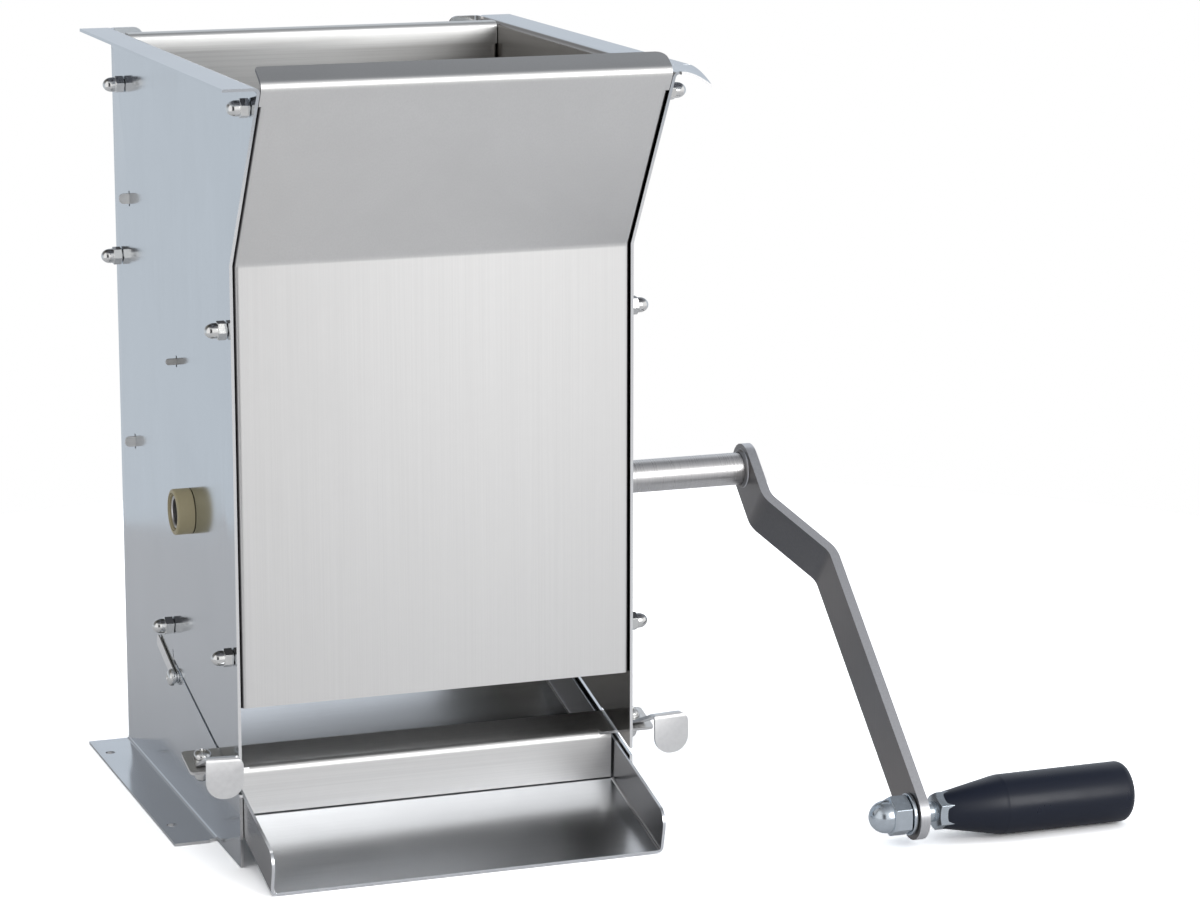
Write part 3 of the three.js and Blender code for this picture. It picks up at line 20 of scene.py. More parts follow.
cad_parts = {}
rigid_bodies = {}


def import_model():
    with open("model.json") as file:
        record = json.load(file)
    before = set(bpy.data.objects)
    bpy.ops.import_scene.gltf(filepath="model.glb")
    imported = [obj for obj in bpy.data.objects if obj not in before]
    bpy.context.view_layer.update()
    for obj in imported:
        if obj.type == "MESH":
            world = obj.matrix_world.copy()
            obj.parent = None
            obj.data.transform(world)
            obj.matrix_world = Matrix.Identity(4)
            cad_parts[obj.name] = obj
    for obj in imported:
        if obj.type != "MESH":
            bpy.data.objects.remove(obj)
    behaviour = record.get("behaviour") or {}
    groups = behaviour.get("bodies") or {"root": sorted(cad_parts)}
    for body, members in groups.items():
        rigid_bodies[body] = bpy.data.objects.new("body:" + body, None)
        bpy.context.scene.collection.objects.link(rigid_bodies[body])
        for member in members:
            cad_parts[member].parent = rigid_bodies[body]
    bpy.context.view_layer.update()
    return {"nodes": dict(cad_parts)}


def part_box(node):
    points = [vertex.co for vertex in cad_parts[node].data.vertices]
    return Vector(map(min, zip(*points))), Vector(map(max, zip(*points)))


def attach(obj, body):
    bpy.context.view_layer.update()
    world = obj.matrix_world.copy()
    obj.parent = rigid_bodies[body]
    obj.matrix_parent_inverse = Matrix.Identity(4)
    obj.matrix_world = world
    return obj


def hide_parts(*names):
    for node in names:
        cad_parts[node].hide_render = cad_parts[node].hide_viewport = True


LOG = logging.getLogger("scratter")
MM = 0.001

Colour = tuple[float, float, float]
Point = tuple[float, float, float]
Pair = tuple[float, float]
Stops = tuple[tuple[float, Colour], ...]

TO_LEFT: Point = (-1.0, 0.0, 0.0)
TO_RIGHT: Point = (1.0, 0.0, 0.0)
TO_FRONT: Point = (0.0, -1.0, 0.0)
TO_BACK: Point = (0.0, 1.0, 0.0)
UP = Vector((0.0, 0.0, 1.0))
RIGHTWARD = Vector(TO_RIGHT)

SHARP_EDGE = 32.0  # edges of a made piece that turn by more, in degrees, stay sharp
SAME_POINT = 1e-7  # points of a made piece that are closer, in metres, are one


class Grain(Enum):
    """The way a surface was brushed, as how fine its lines are along X, Y and Z."""

    ACROSS = (9.0, 1500.0, 1500.0)
    UPRIGHT = (1500.0, 1500.0, 9.0)
    TURNED = (1600.0, 60.0, 60.0)
    EVEN = (420.0, 420.0, 420.0)


class Side(Enum):
    """The two sides of the machine, and where each lies along X."""

    LEFT = -1
    RIGHT = 1

    @property
    def label(self) -> str:
        """Prefix of the side's node names."""
        return self.name.lower()


class Wiring:
    """Adds shader nodes to one tree and joins their sockets."""

    SPACING = 190  # between nodes in the editor

    def __init__(self, tree: bpy.types.NodeTree) -> None:
        """Starts on an empty tree.

        Args:
            tree: the material's, group's or world's node tree.
        """
        self.tree = tree
        self.tree.nodes.clear()
        self.column = 0

    def add(self, kind: str, inputs: dict | None = None, **settings: object) -> bpy.types.Node:
        """Adds one node.

        Args:
            kind: Blender's type name without its ShaderNode prefix.
            inputs: value or output socket for each named or numbered input.
            settings: the node's own properties.

        Returns:
            The new node.
        """
        prefix = "" if kind.startswith("NodeGroup") else "ShaderNode"
        node = self.tree.nodes.new(prefix + kind)
        node.location = (self.column * self.SPACING, 0)
        self.column += 1
        for name, value in settings.items():
            setattr(node, name, value)
        for name, value in (inputs or {}).items():
            if isinstance(value, bpy.types.NodeSocket):
                self.tree.links.new(value, node.inputs[name])
            else:
                node.inputs[name].default_value = value
        return node

    def math(self, operation: str, *values: object) -> bpy.types.NodeSocket:
        """Output of a Math node over the given numbers or sockets."""
        inputs = dict(enumerate(values))
        return self.add("Math", inputs, operation=operation).outputs[0]

    def noise(self, vector: bpy.types.NodeSocket, scale: float, detail: float) -> bpy.types.NodeSocket:
        """Value of a Noise Texture at the given scale."""
        inputs = {"Vector": vector, "Scale": scale, "Detail": detail}
        return self.add("TexNoise", inputs).outputs["Fac"]

    def ranged(self, value: bpy.types.NodeSocket, low: float, high: float,
               span: Pair = (0.0, 1.0)) -> bpy.types.NodeSocket:
        """Value moved from span to low..high."""
        inputs = {0: value, 1: span[0], 2: span[1], 3: low, 4: high}
        return self.add("MapRange", inputs).outputs[0]

    def ramp(self, value: bpy.types.NodeSocket, stops: Stops) -> bpy.types.NodeSocket:
        """Colour by height, for a value of 0..1 that stands for heights -1..1."""
        node = self.add("ValToRGB", {0: value})
        elements = node.color_ramp.elements
        elements.remove(elements[1])
        for index, (height, colour) in enumerate(stops):
            element = elements.new((height + 1.0) / 2) if index else elements[0]
            element.position = (height + 1.0) / 2
            element.color = (*colour, 1.0)
        return node.outputs[0]

    def blended(self, factor: object, first: object, second: object) -> bpy.types.NodeSocket:
        """Colour between first and second, each a colour or a socket, by factor."""
        node = self.add("Mix", {0: factor}, data_type="RGBA")
        for index, colour in ((6, first), (7, second)):
            if isinstance(colour, bpy.types.NodeSocket):
                self.tree.links.new(colour, node.inputs[index])
            else:
                node.inputs[index].default_value = (*colour, 1.0)
        return node.outputs[2]


def shader_group(name: str, inputs: dict[str, tuple[str, object]],
                 outputs: Iterable[str]) -> tuple[bpy.types.NodeTree, Wiring, bpy.types.Node]:
    """Makes an empty shader node group with named sockets.

    Args:
        name: the group's name.
        inputs: socket type and default value for each input.
        outputs: names of its number outputs.

    Returns:
        The group's tree, its wiring and its input node.
    """
    tree = bpy.data.node_groups.new(name, "ShaderNodeTree")
    for label, (kind, default) in inputs.items():
        socket = tree.interface.new_socket(label, in_out="INPUT", socket_type=kind)
        socket.default_value = default
    for label in outputs:
        tree.interface.new_socket(label, in_out="OUTPUT", socket_type="NodeSocketFloat")
    wiring = Wiring(tree)
    return tree, wiring, wiring.add("NodeGroupInput")


VECTOR_INPUT = ("NodeSocketVector", (0.0, 0.0, 0.0))


@dataclass(frozen=True)
class Effects:
    """Node groups that several finishes share."""

    grain: bpy.types.NodeTree
    marks: bpy.types.NodeTree
    peel: bpy.types.NodeTree

    SMUDGE_SIZE = 18.0  # smudges to a metre on sheet metal
    SMUDGE_SPAN = (0.35, 0.75)  # of the cloud's value, from clean to smudged
    WAVES = 9.0  # to a metre
    SKIN_FINENESS = 900.0
    SPECK_FINENESS = 1400.0
    SPECK_SPAN = (0.6, 0.75)

    @classmethod
    def build(cls) -> Effects:
        """Makes all groups once."""
        return cls(cls._grain(), cls._marks(), cls._peel())

    @staticmethod
    def _grain() -> bpy.types.NodeTree:
        """Brushing lines."""
        tree, wiring, given = shader_group(
            "brushed_grain",
            {"Position": VECTOR_INPUT, "Stretch": ("NodeSocketVector", (1.0, 1.0, 1.0))}, ["Lines"])
        places = {0: given.outputs["Position"], 1: given.outputs["Stretch"]}
        stretched = wiring.add("VectorMath", places, operation="MULTIPLY").outputs[0]
        wiring.add("NodeGroupOutput", {"Lines": wiring.noise(stretched, 1.0, 3.0)})
        return tree

    @classmethod
    def _marks(cls) -> bpy.types.NodeTree:
        """Handling marks: faint cloudy smudges, and the sheet's slight unevenness."""
        tree, wiring, given = shader_group(
            "handling_marks",
            {"Position": VECTOR_INPUT, "Size": ("NodeSocketFloat", cls.SMUDGE_SIZE)}, ["Smudge", "Wave"])
        cloud = wiring.add("TexNoise", {
            "Vector": given.outputs["Position"], "Scale": given.outputs["Size"],
            "Detail": 4.0, "Roughness": 0.62, "Distortion": 0.4}).outputs["Fac"]
        smudge = wiring.ranged(cloud, 0.0, 1.0, cls.SMUDGE_SPAN)
        wave = wiring.noise(given.outputs["Position"], cls.WAVES, 1.0)
        wiring.add("NodeGroupOutput", {"Smudge": smudge, "Wave": wave})
        return tree

    @classmethod
    def _peel(cls) -> bpy.types.NodeTree:
        """Moulded skin: a fine orange peel with sparse specks."""
        tree, wiring, given = shader_group(
            "moulded_skin",
            {"Position": VECTOR_INPUT, "Fineness": ("NodeSocketFloat", cls.SKIN_FINENESS)},
            ["Height", "Specks"])
        position = given.outputs["Position"]
        inputs = {"Vector": position, "Scale": given.outputs["Fineness"], "Detail": 2.0}
        height = wiring.add("TexNoise", inputs).outputs["Fac"]
        specks = wiring.ranged(wiring.noise(position, cls.SPECK_FINENESS, 4.0), 0.0, 1.0, cls.SPECK_SPAN)
        wiring.add("NodeGroupOutput", {"Height": height, "Specks": specks})
        return tree


def principled(name: str,
               values: dict[str, object]) -> tuple[bpy.types.Material, Wiring, bpy.types.Node]:
    """Makes a material with one Principled shader.

    Args:
        name: the material's name.
        values: plain value for each named socket.

    Returns:
        The material, its wiring and the Principled node.
    """
    material = bpy.data.materials.new(name)
    material.use_nodes = True
    wiring = Wiring(material.node_tree)
    shader = wiring.add("BsdfPrincipled", values)
    wiring.add("OutputMaterial", {0: shader.outputs[0]})
    return material, wiring, shader


def finish_shader(wiring: Wiring, shader: bpy.types.Node, colour: bpy.types.NodeSocket,
                  roughness: bpy.types.NodeSocket, height: bpy.types.NodeSocket) -> None:
    """Feeds a Principled shader its colour, its roughness and a bump of the given height."""
    bump = wiring.add("Bump", {"Height": height, "Strength": 1.0, "Distance": 1.0})
    fed = {"Base Color": colour, "Roughness": roughness, "Normal": bump.outputs[0]}
    for name, socket in fed.items():
        wiring.tree.links.new(socket, shader.inputs[name])


@dataclass(frozen=True)
class OtherFace:
    """Painted light and shade: a tint on the faces that look one way."""

    direction: Point
    tint: Colour
    both: bool = False  # whether the opposite faces have it too
    edge: Pair = (0.45, 0.65)  # how well a face must look that way

    def mask(self, wiring: Wiring, normal: bpy.types.NodeSocket) -> bpy.types.NodeSocket:
        """Value that is 1 on those faces and 0 elsewhere."""
        ways = {0: normal, 1: self.direction}
        facing = wiring.add("VectorMath", ways, operation="DOT_PRODUCT").outputs["Value"]
        if self.both:
            facing = wiring.math("ABSOLUTE", facing)
        return wiring.ranged(facing, 0.0, 1.0, self.edge)


@dataclass(frozen=True)
class MetalFinish:
    """A bare or plated metal surface."""

    name: str
    slot: str
    tint: Colour
    roughness: float
    grain: Grain
    depth: float  # of the brushing lines, in millimetres
    contrast: float  # between the lines, in roughness
    smudge: float = 0.05  # roughness added by handling marks
    wave: float = 0.0  # depth of the sheet's unevenness, in millimetres
    # painted shade and highlights, by the way a face looks
    others: tuple[OtherFace, ...] = ()

    LINE_SPAN = (0.3, 0.7)  # of the lines' value, from dark to light
    LIGHT_LINE = 1.04  # how much brighter than the tint a light line is
    SOILED = 0.93  # how bright a smudged place is
    SOIL_SHARE = 0.5

    def build(self, effects: Effects) -> bpy.types.Material:
        """Makes the material from the shared effects."""
        material, wiring, shader = principled(self.name, {"Metallic": 1.0})
        places = wiring.add("TexCoord")
        position = places.outputs["Object"]
        grain = wiring.add(
            "Group", {"Position": position, "Stretch": self.grain.value}, node_tree=effects.grain)
        marks = wiring.add("Group", {"Position": position}, node_tree=effects.marks)
        smudge = marks.outputs["Smudge"]
        lines = wiring.ranged(grain.outputs["Lines"], 0.0, 1.0, self.LINE_SPAN)
        light = tuple(min(1.0, c * self.LIGHT_LINE) for c in self.tint)
        dark = tuple(c * (1.0 - self.contrast) for c in self.tint)
        colour = wiring.blended(
            wiring.math("MULTIPLY", smudge, self.SOIL_SHARE),
            wiring.blended(lines, dark, light), tuple(c * self.SOILED for c in self.tint))
        # paints each facing's shade and highlights over the grain and smudges
        for other in self.others:
            mask = other.mask(wiring, places.outputs["Normal"])
            share = (*(c / own for c, own in zip(other.tint, self.tint)), 1.0)
            inputs = {0: mask, 6: colour, 7: share}
            colour = wiring.add("Mix", inputs, data_type="RGBA", blend_type="MULTIPLY").outputs[2]
        smooth, rough = (self.roughness * (1 + sign * self.contrast) for sign in (-1, 1))
        roughness = wiring.math(
            "ADD", wiring.ranged(lines, smooth, rough), wiring.math("MULTIPLY", smudge, self.smudge))
        height = wiring.math(
            "ADD", wiring.math("MULTIPLY", grain.outputs["Lines"], self.depth * MM),
            wiring.math("MULTIPLY", marks.outputs["Wave"], self.wave * MM))
        finish_shader(wiring, shader, colour, roughness, height)
        return material


@dataclass(frozen=True)
class MouldedFinish:
    """A plastic surface."""

    name: str
    slot: str
    tint: Colour
    roughness: float
    peel: float  # depth of the moulded skin, in millimetres
    fineness: float
    speck: Colour
    gloss: float = 0.5

    SMUDGE_SIZE = 60.0  # smudges to a metre
    SPECK_SHARE = 0.25
    WORN = 0.8  # how bright a smudged place is
    WORN_SHARE = 0.3
    ROUGHNESS_SPAN = (0.9, 1.2)  # of a clean and a smudged place

    def build(self, effects: Effects) -> bpy.types.Material:
        """Makes the material from the shared effects."""
        values = {"IOR": 1.5, "Specular IOR Level": self.gloss}
        material, wiring, shader = principled(self.name, values)
        position = wiring.add("TexCoord").outputs["Object"]
        skin = wiring.add(
            "Group", {"Position": position, "Fineness": self.fineness}, node_tree=effects.peel)
        marks = wiring.add(
            "Group", {"Position": position, "Size": self.SMUDGE_SIZE}, node_tree=effects.marks)
        smudge = marks.outputs["Smudge"]
        specked = wiring.blended(
            wiring.math("MULTIPLY", skin.outputs["Specks"], self.SPECK_SHARE), self.tint, self.speck)
        worn = wiring.blended(
            wiring.math("MULTIPLY", smudge, self.WORN_SHARE), specked,
            tuple(c * self.WORN for c in self.tint))
        clean, smudged = (self.roughness * share for share in self.ROUGHNESS_SPAN)
        roughness = wiring.ranged(smudge, clean, smudged)
        height = wiring.math("MULTIPLY", skin.outputs["Height"], self.peel * MM)
        finish_shader(wiring, shader, worn, roughness, height)
        return material


WALL_TINT: Colour = (0.68, 0.71, 0.745)
# painted shade: the walls' faces that look into the housing are darkened
WALL_INSIDE_SHADE: Colour = (0.40, 0.38, 0.36)
PLATED_TINT: Colour = (0.80, 0.80, 0.79)
# painted highlight: the walls' faces that look forward, along their front edges, are lightened to white
EDGE_HIGHLIGHT = OtherFace(TO_FRONT, (1.0, 1.0, 1.0), edge=(0.86, 0.93))
# painted shade: the top face of the front panel's lip is darkened
LIP_TOP_SHADE = OtherFace((0.0, -0.54, 0.84), (0.64, 0.64, 0.64), edge=(0.90, 0.97))
# painted shade: each dome nut's upper front flats are darkened
NUT_TOP_SHADE = OtherFace((0.0, -0.5, 0.87), (0.24, 0.24, 0.25), edge=(0.80, 0.90))


class Finish(Enum):
    """Every finish on the machine."""

    LEFT_WALL = MetalFinish(
        "polished_left_sheet", "side_sheet", WALL_TINT, 0.13, Grain.UPRIGHT,
        depth=0.00010, contrast=0.015, smudge=0.03, wave=0.004,
        others=(OtherFace(TO_RIGHT, WALL_INSIDE_SHADE), EDGE_HIGHLIGHT))
    RIGHT_WALL = MetalFinish(
        "polished_right_sheet", "side_sheet", WALL_TINT, 0.13, Grain.UPRIGHT,
        depth=0.00010, contrast=0.015, smudge=0.03, wave=0.004,
        others=(OtherFace(TO_LEFT, WALL_INSIDE_SHADE), EDGE_HIGHLIGHT))
    PANEL = MetalFinish(
        "satin_front_sheet", "panel_sheet", (0.81, 0.805, 0.795), 0.33, Grain.UPRIGHT,
        depth=0.00005, contrast=0.005, wave=0.004,
        # painted shade: the panel's faces that look back into the housing are darkened
        others=(OtherFace(TO_BACK, (0.55, 0.54, 0.53), edge=(0.75, 0.9)), LIP_TOP_SHADE,
                # painted shadow: the panel's faces that look sideways, in its folds, are near black
                OtherFace(TO_RIGHT, (0.15, 0.15, 0.16), both=True)))
    HOPPER = MetalFinish(
        "brushed_back_sheet", "panel_sheet", (0.78, 0.78, 0.77), 0.34, Grain.ACROSS,
        depth=0.0010, contrast=0.10, wave=0.003)
    TRAY = MetalFinish(
        "brushed_chute_sheet", "panel_sheet", (0.84, 0.86, 0.89), 0.21, Grain.ACROSS,
        depth=0.0004, contrast=0.03, smudge=0.03, wave=0.002,
        # painted shade: the chute's faces that look left are darkened
        others=(OtherFace(TO_LEFT, (0.35, 0.35, 0.36)),))
    CROSS = MetalFinish(
        "brushed_rake_sheet", "panel_sheet", (0.80, 0.795, 0.785), 0.36, Grain.ACROSS,
        depth=0.0004, contrast=0.04, smudge=0.03, wave=0.002)
    # painted shade: a darkened copy of the panel sheet for the plates inside the housing
    INNER_SHADE = MetalFinish(
        "shaded_inner_sheet", "panel_sheet", (0.50, 0.49, 0.47), 0.34, Grain.ACROSS, depth=0.0010, contrast=0.08)
    DRUM = MetalFinish(
        "drum_sheet", "drum_steel", (0.62, 0.62, 0.62), 0.34, Grain.ACROSS, depth=0.0014, contrast=0.10)
    BAR = MetalFinish(
        "ground_bar", "satin_bar", (0.70, 0.70, 0.72), 0.32, Grain.UPRIGHT, depth=0.0012, contrast=0.10,
        # painted shade: the arm's broad side faces are darkened, so only its edges stay light
        others=(OtherFace(TO_RIGHT, (0.25, 0.235, 0.23), both=True),))
    TUBE = MetalFinish(
        "turned_tube", "satin_bar", (0.68, 0.67, 0.67), 0.27, Grain.TURNED, depth=0.002, contrast=0.12)
    PLATED = MetalFinish(
        "bright_fastener", "bright_plated", PLATED_TINT, 0.09, Grain.EVEN, depth=0.0003, contrast=0.05)
    NUT = MetalFinish(
        "bright_dome_nut", "bright_plated", PLATED_TINT, 0.09, Grain.EVEN, depth=0.0003, contrast=0.05,
        others=(NUT_TOP_SHADE,))
    SPRING = MetalFinish(
        "bright_spring_strip", "bright_plated", (0.97, 0.97, 0.97), 0.12, Grain.EVEN,
        depth=0.0002, contrast=0.03)
    ZINC = MetalFinish(
        "zinc_handle_fastener", "bright_plated", (0.62, 0.68, 0.74), 0.20, Grain.EVEN,
        depth=0.0006, contrast=0.08)
    LEVER = MetalFinish(
        "satin_lever_sheet", "bright_plated", (0.86, 0.86, 0.86), 0.30, Grain.EVEN,
        depth=0.0006, contrast=0.04)
    NYLON = MouldedFinish(
        "natural_nylon", "natural_nylon", (0.43, 0.375, 0.23), 0.42,
        peel=0.010, fineness=700.0, speck=(0.55, 0.50, 0.34))
    PLASTIC = MouldedFinish(
        "blue_black_plastic", "black_plastic", (0.006, 0.010, 0.024), 0.30,
        peel=0.004, fineness=1100.0, speck=(0.02, 0.025, 0.04), gloss=0.42)


def round_edges(piece: bpy.types.Object, width: float, sharp: float) -> None:
    """Rounds a piece's sharp edges with a modifier.

    Args:
        piece: what to work on.
        width: of the rounded edge, in millimetres.
        sharp: edges that turn by more than this, in degrees, are rounded.
    """
    bevel = piece.modifiers.new("edges", "BEVEL")
    bevel.width = width * MM
    bevel.segments = 2
    bevel.limit_method = "ANGLE"
    bevel.angle_limit = math.radians(sharp)
    bevel.harden_normals = True


class Workshop:
    """The materials by finish, and what dresses a piece with one."""

    WELD_GAP = 1e-6  # in metres
    FLAT_ANGLE = 0.5  # faces that differ by less, in degrees, are one face
    FOLD_ANGLE = 35.0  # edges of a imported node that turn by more, in degrees, are rounded

    def __init__(self, nodes: dict[str, bpy.types.Object]) -> None:
        """Makes every material.

        Args:
            nodes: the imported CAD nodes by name.
        """
        self.nodes = nodes
        effects = Effects.build()
        self.materials = {finish: finish.value.build(effects) for finish in Finish}

    def dress(self, piece: bpy.types.Object, finish: Finish) -> None:
        """Gives a piece one finish."""
        piece.data.materials.clear()
        piece.data.materials.append(self.materials[finish])

    def soften(self, piece: bpy.types.Object, width: float) -> None:
        """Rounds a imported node's sharp edges with modifiers and smooths its folds.

        Args:
            piece: the CAD node.
            width: of the rounded edge, in millimetres.
        """
        mesh = piece.data
        if "custom_normal" in mesh.attributes:
            mesh.attributes.remove(mesh.attributes["custom_normal"])
        mesh.shade_smooth()
        weld = piece.modifiers.new("weld", "WELD")
        weld.merge_threshold = self.WELD_GAP
        flat = piece.modifiers.new("flat", "DECIMATE")
        flat.decimate_type = "DISSOLVE"
        flat.angle_limit = math.radians(self.FLAT_ANGLE)
        round_edges(piece, width, self.FOLD_ANGLE)

    def fit(self, piece: bpy.types.Object, finish: Finish, node: str, body: str,
            edge: float = 0.0) -> None:
        """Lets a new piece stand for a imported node.

        Args:
            piece: the new piece.
            finish: what it is made of.
            node: the node it stands for.
            body: the body it rides on.
            edge: width of its rounded edges in millimetres, or none.
        """
        self.dress(piece, finish)
        if edge:
            round_edges(piece, edge, SHARP_EDGE)
        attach(piece, body)
        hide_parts(node)
        LOG.info("made %s for %s as %s", piece.name, node, finish.value.name)

    def keep(self, finish: Finish, names: Iterable[str], width: float = 0.25) -> None:
        """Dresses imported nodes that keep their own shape.

        Args:
            finish: what they are made of.
            names: the nodes.
            width: of their rounded edges, in millimetres.
        """
        for name in names:
            self.dress(self.nodes[name], finish)
            self.soften(self.nodes[name], width)
            LOG.info("dressed %s as %s", name, finish.value.name)


def hexagon_reach(flats: float, turn: float) -> float:
    """Distance from a hexagon's middle to its side.

    Args:
        flats: the hexagon's width.
        turn: the direction, in radians from the middle of a side.

    Returns:
        The distance, in the unit of flats.
    """
    sector = math.pi / 3
    off = (turn + sector / 2) % sector - sector / 2
    return flats / 2 / math.cos(off)


class Turning:
    """A turned piece, made of rings along its axis."""

    CHAMFER = math.tan(math.radians(30))
    CONE = 0.97  # where a hexagon's chamfers begin, as a share of its half width
    TIP = 4  # degrees from the axis where a dome's last ring lies

    def __init__(self, steps: int = 48) -> None:
        """Starts with no rings.

        Args:
            steps: points in each ring.
        """
        self.steps = steps
        self.rings: list[list[Pair]] = []

    def round(self, *points: Pair) -> Turning:
        """Adds a round ring for each distance along the axis and radius."""
        self.rings += [[point] * self.steps for point in points]
        return self

    def arc(self, centre: Pair, radii: Pair, start: float, end: float, pieces: int) -> Turning:
        """Adds rings along part of an ellipse.

        Args:
            centre: distance along the axis and radius of its centre.
            radii: its half lengths along and off the axis.
            start: first angle, in degrees from the axis.
            end: last angle.
            pieces: how many steps lie between them.
        """
        for index in range(pieces + 1):
            angle = math.radians(start + (end - start) * index / pieces)
            along, off = radii[0] * math.cos(angle), radii[1] * math.sin(angle)
            self.round((centre[0] + along, centre[1] + off))
        return self

    def hexagon(self, along: float, flats: float, circle: float, lean: float) -> Turning:
        """Adds a hexagon's edge where a cone has taken off its corners.

        Args:
            along: where the cone meets its circle.
            flats: the hexagon's width.
            circle: radius of that circle.
            lean: steepness of the cone, 1 or -1 for the usual 30 degrees.
        """
        ring = []
        for index in range(self.steps):
            reach = hexagon_reach(flats, 2 * math.pi * index / self.steps)
            ring.append((along + lean * self.CHAMFER * (reach - circle), reach))
        self.rings.append(ring)
        return self

    def mesh(self, name: str, base: Sequence[float], along: Vector, up: Vector,
             closed: bool = False) -> bpy.types.Object:
        """Makes the piece.

        Args:
            name: of the new object.
            base: point on the axis where distance 0 lies, in millimetres.
            along: direction of the axis.
            up: direction across it that a hexagon's corner points to.
            closed: whether the last ring joins the first, as in a tube.

        Returns:
            The new object.
        """
        along, up = along.normalized(), up.normalized()
        side = along.cross(up)
        shape = bmesh.new()
        rows = []
        for ring in self.rings:
            row = []
            for index, (distance, radius) in enumerate(ring):
                turn = 2 * math.pi * index / self.steps
                off = (side * math.cos(turn) + up * math.sin(turn)) * radius
                row.append(shape.verts.new((Vector(base) + along * distance + off) * MM))
            rows.append(row)
        pairs = list(zip(rows, rows[1:]))
        if closed:
            pairs.append((rows[-1], rows[0]))
        for low, high in pairs:
            for index in range(self.steps):
                after = (index + 1) % self.steps
                shape.faces.new((low[index], low[after], high[after], high[index]))
        return finished_piece(name, shape)


def finished_piece(name: str, shape: bmesh.types.BMesh) -> bpy.types.Object:
    """Turns worked geometry into a smooth-shaded object.

    Args:
        name: of the new object.
        shape: the geometry, which is freed.

    Returns:
        The new object.
    """
    bmesh.ops.remove_doubles(shape, verts=shape.verts, dist=SAME_POINT)
    bmesh.ops.recalc_face_normals(shape, faces=shape.faces)
    mesh = bpy.data.meshes.new(name)
    shape.to_mesh(mesh)
    shape.free()
    mesh.shade_smooth()
    mesh.set_sharp_from_angle(angle=math.radians(SHARP_EDGE))
    piece = bpy.data.objects.new(name, mesh)
    bpy.context.scene.collection.objects.link(piece)
    return piece


def carve(piece: bpy.types.Object, cutter: bpy.types.Object) -> None:
    """Takes the cutter's shape out of a piece and deletes the cutter."""
    cut = piece.modifiers.new("cut", "BOOLEAN")
    cut.object = cutter
    cut.solver = "EXACT"
    bpy.context.view_layer.update()
    evaluated = piece.evaluated_get(bpy.context.evaluated_depsgraph_get())
    mesh = bpy.data.meshes.new_from_object(evaluated)
    piece.modifiers.clear()
    piece.data = mesh
    mesh.shade_smooth()
    mesh.set_sharp_from_angle(angle=math.radians(SHARP_EDGE))
    bpy.data.objects.remove(cutter)


@dataclass(frozen=True)
class DomeNut:
    """A dome nut, from its seat outward."""

    flats: float
    hexagon: float  # height of the hexagon
    height: float
    dome: float  # radius of the dome
    straight: float = 1.0  # cylindrical part under the dome
    seat_cone: float = 0.35  # steepness of the chamfer at the seat

    def make(self, name: str, seat: Sequence[float], along: Vector, up: Vector) -> bpy.types.Object:
        """Makes the nut.

        Args:
            name: of the new object.
            seat: middle of its seat, in millimetres.
            along: direction from the seat to the tip.
            up: direction of a corner.

        Returns:
            The new object.
        """
        circle = self.flats / 2 * Turning.CONE
        rise = self.height - self.hexagon - self.straight
        turning = Turning()
        turning.round((0, 0), (0, circle)).hexagon(0, self.flats, circle, self.seat_cone)
        turning.hexagon(self.hexagon, self.flats, circle, -1).round((self.hexagon, circle))
        turning.round((self.hexagon, self.dome))
        turning.arc((self.hexagon + self.straight, 0), (rise, self.dome), 90, Turning.TIP, 9)
        turning.round((self.height, 0))
        return turning.mesh(name, seat, along, up)


@dataclass(frozen=True)
class PanScrew:
    """A pan-head screw with a cross recess, from the seat of its head outward."""

    head: float  # radius
    height: float
    shank: float  # radius
    length: float

    POINT = 0.4  # chamfer at the shank's end
    RIM = 0.25  # upright part of the head, as a share of its height
    ARM = 0.52  # length of the cross's arms, as a share of the head's radius
    ARM_HALF = 0.14  # half their width
    FLOOR = 0.4  # height of the recess's floor, as a share of the head's
    TAPER = (0.45, 1.1)  # size of the cross at its floor and at its mouth
    MOUTH = 0.5  # how far the cutter stands over the head

    def make(self, name: str, seat: Sequence[float], along: Vector, up: Vector) -> bpy.types.Object:
        """Makes the screw.

        Args:
            name: of the new object.
            seat: middle of the head's underside, in millimetres.
            along: direction in which the head stands.
            up: direction of one arm of the cross.

        Returns:
            The new object.
        """
        rim = self.height * self.RIM
        turning = Turning(40)
        turning.round((-self.length, 0), (-self.length, self.shank - self.POINT))
        turning.round((-self.length + self.POINT, self.shank), (0, self.shank))
        turning.round((0, self.head), (rim, self.head))
        turning.arc((rim, 0), (self.height - rim, self.head), 84, Turning.TIP, 8)
        turning.round((self.height, 0))
        screw = turning.mesh(name, seat, along, up)
        carve(screw, self._cross(seat, along.normalized(), up.normalized()))
        return screw

    def _cross(self, seat: Sequence[float], along: Vector, up: Vector) -> bpy.types.Object:
        """The tapered cross that its driver leaves."""
        side = along.cross(up)
        wide, thin = self.head * self.ARM, self.head * self.ARM_HALF
        corner = ((wide, thin), (thin, thin), (thin, wide))
        half = [*corner, *((-u, v) for u, v in reversed(corner))]
        outline = [*half, *((-u, -v) for u, v in half)]
        shape = bmesh.new()
        rows = []
        for distance, scale in zip((self.height * self.FLOOR, self.height + self.MOUTH), self.TAPER):
            level = Vector(seat) + along * distance
            rows.append([shape.verts.new((level + (side * u + up * v) * scale) * MM) for u, v in outline])
        for index in range(len(outline)):
            after = (index + 1) % len(outline)
            shape.faces.new((rows[0][index], rows[0][after], rows[1][after], rows[1][index]))
        shape.faces.new(rows[0])
        shape.faces.new(rows[1])
        return finished_piece("cross_recess", shape)


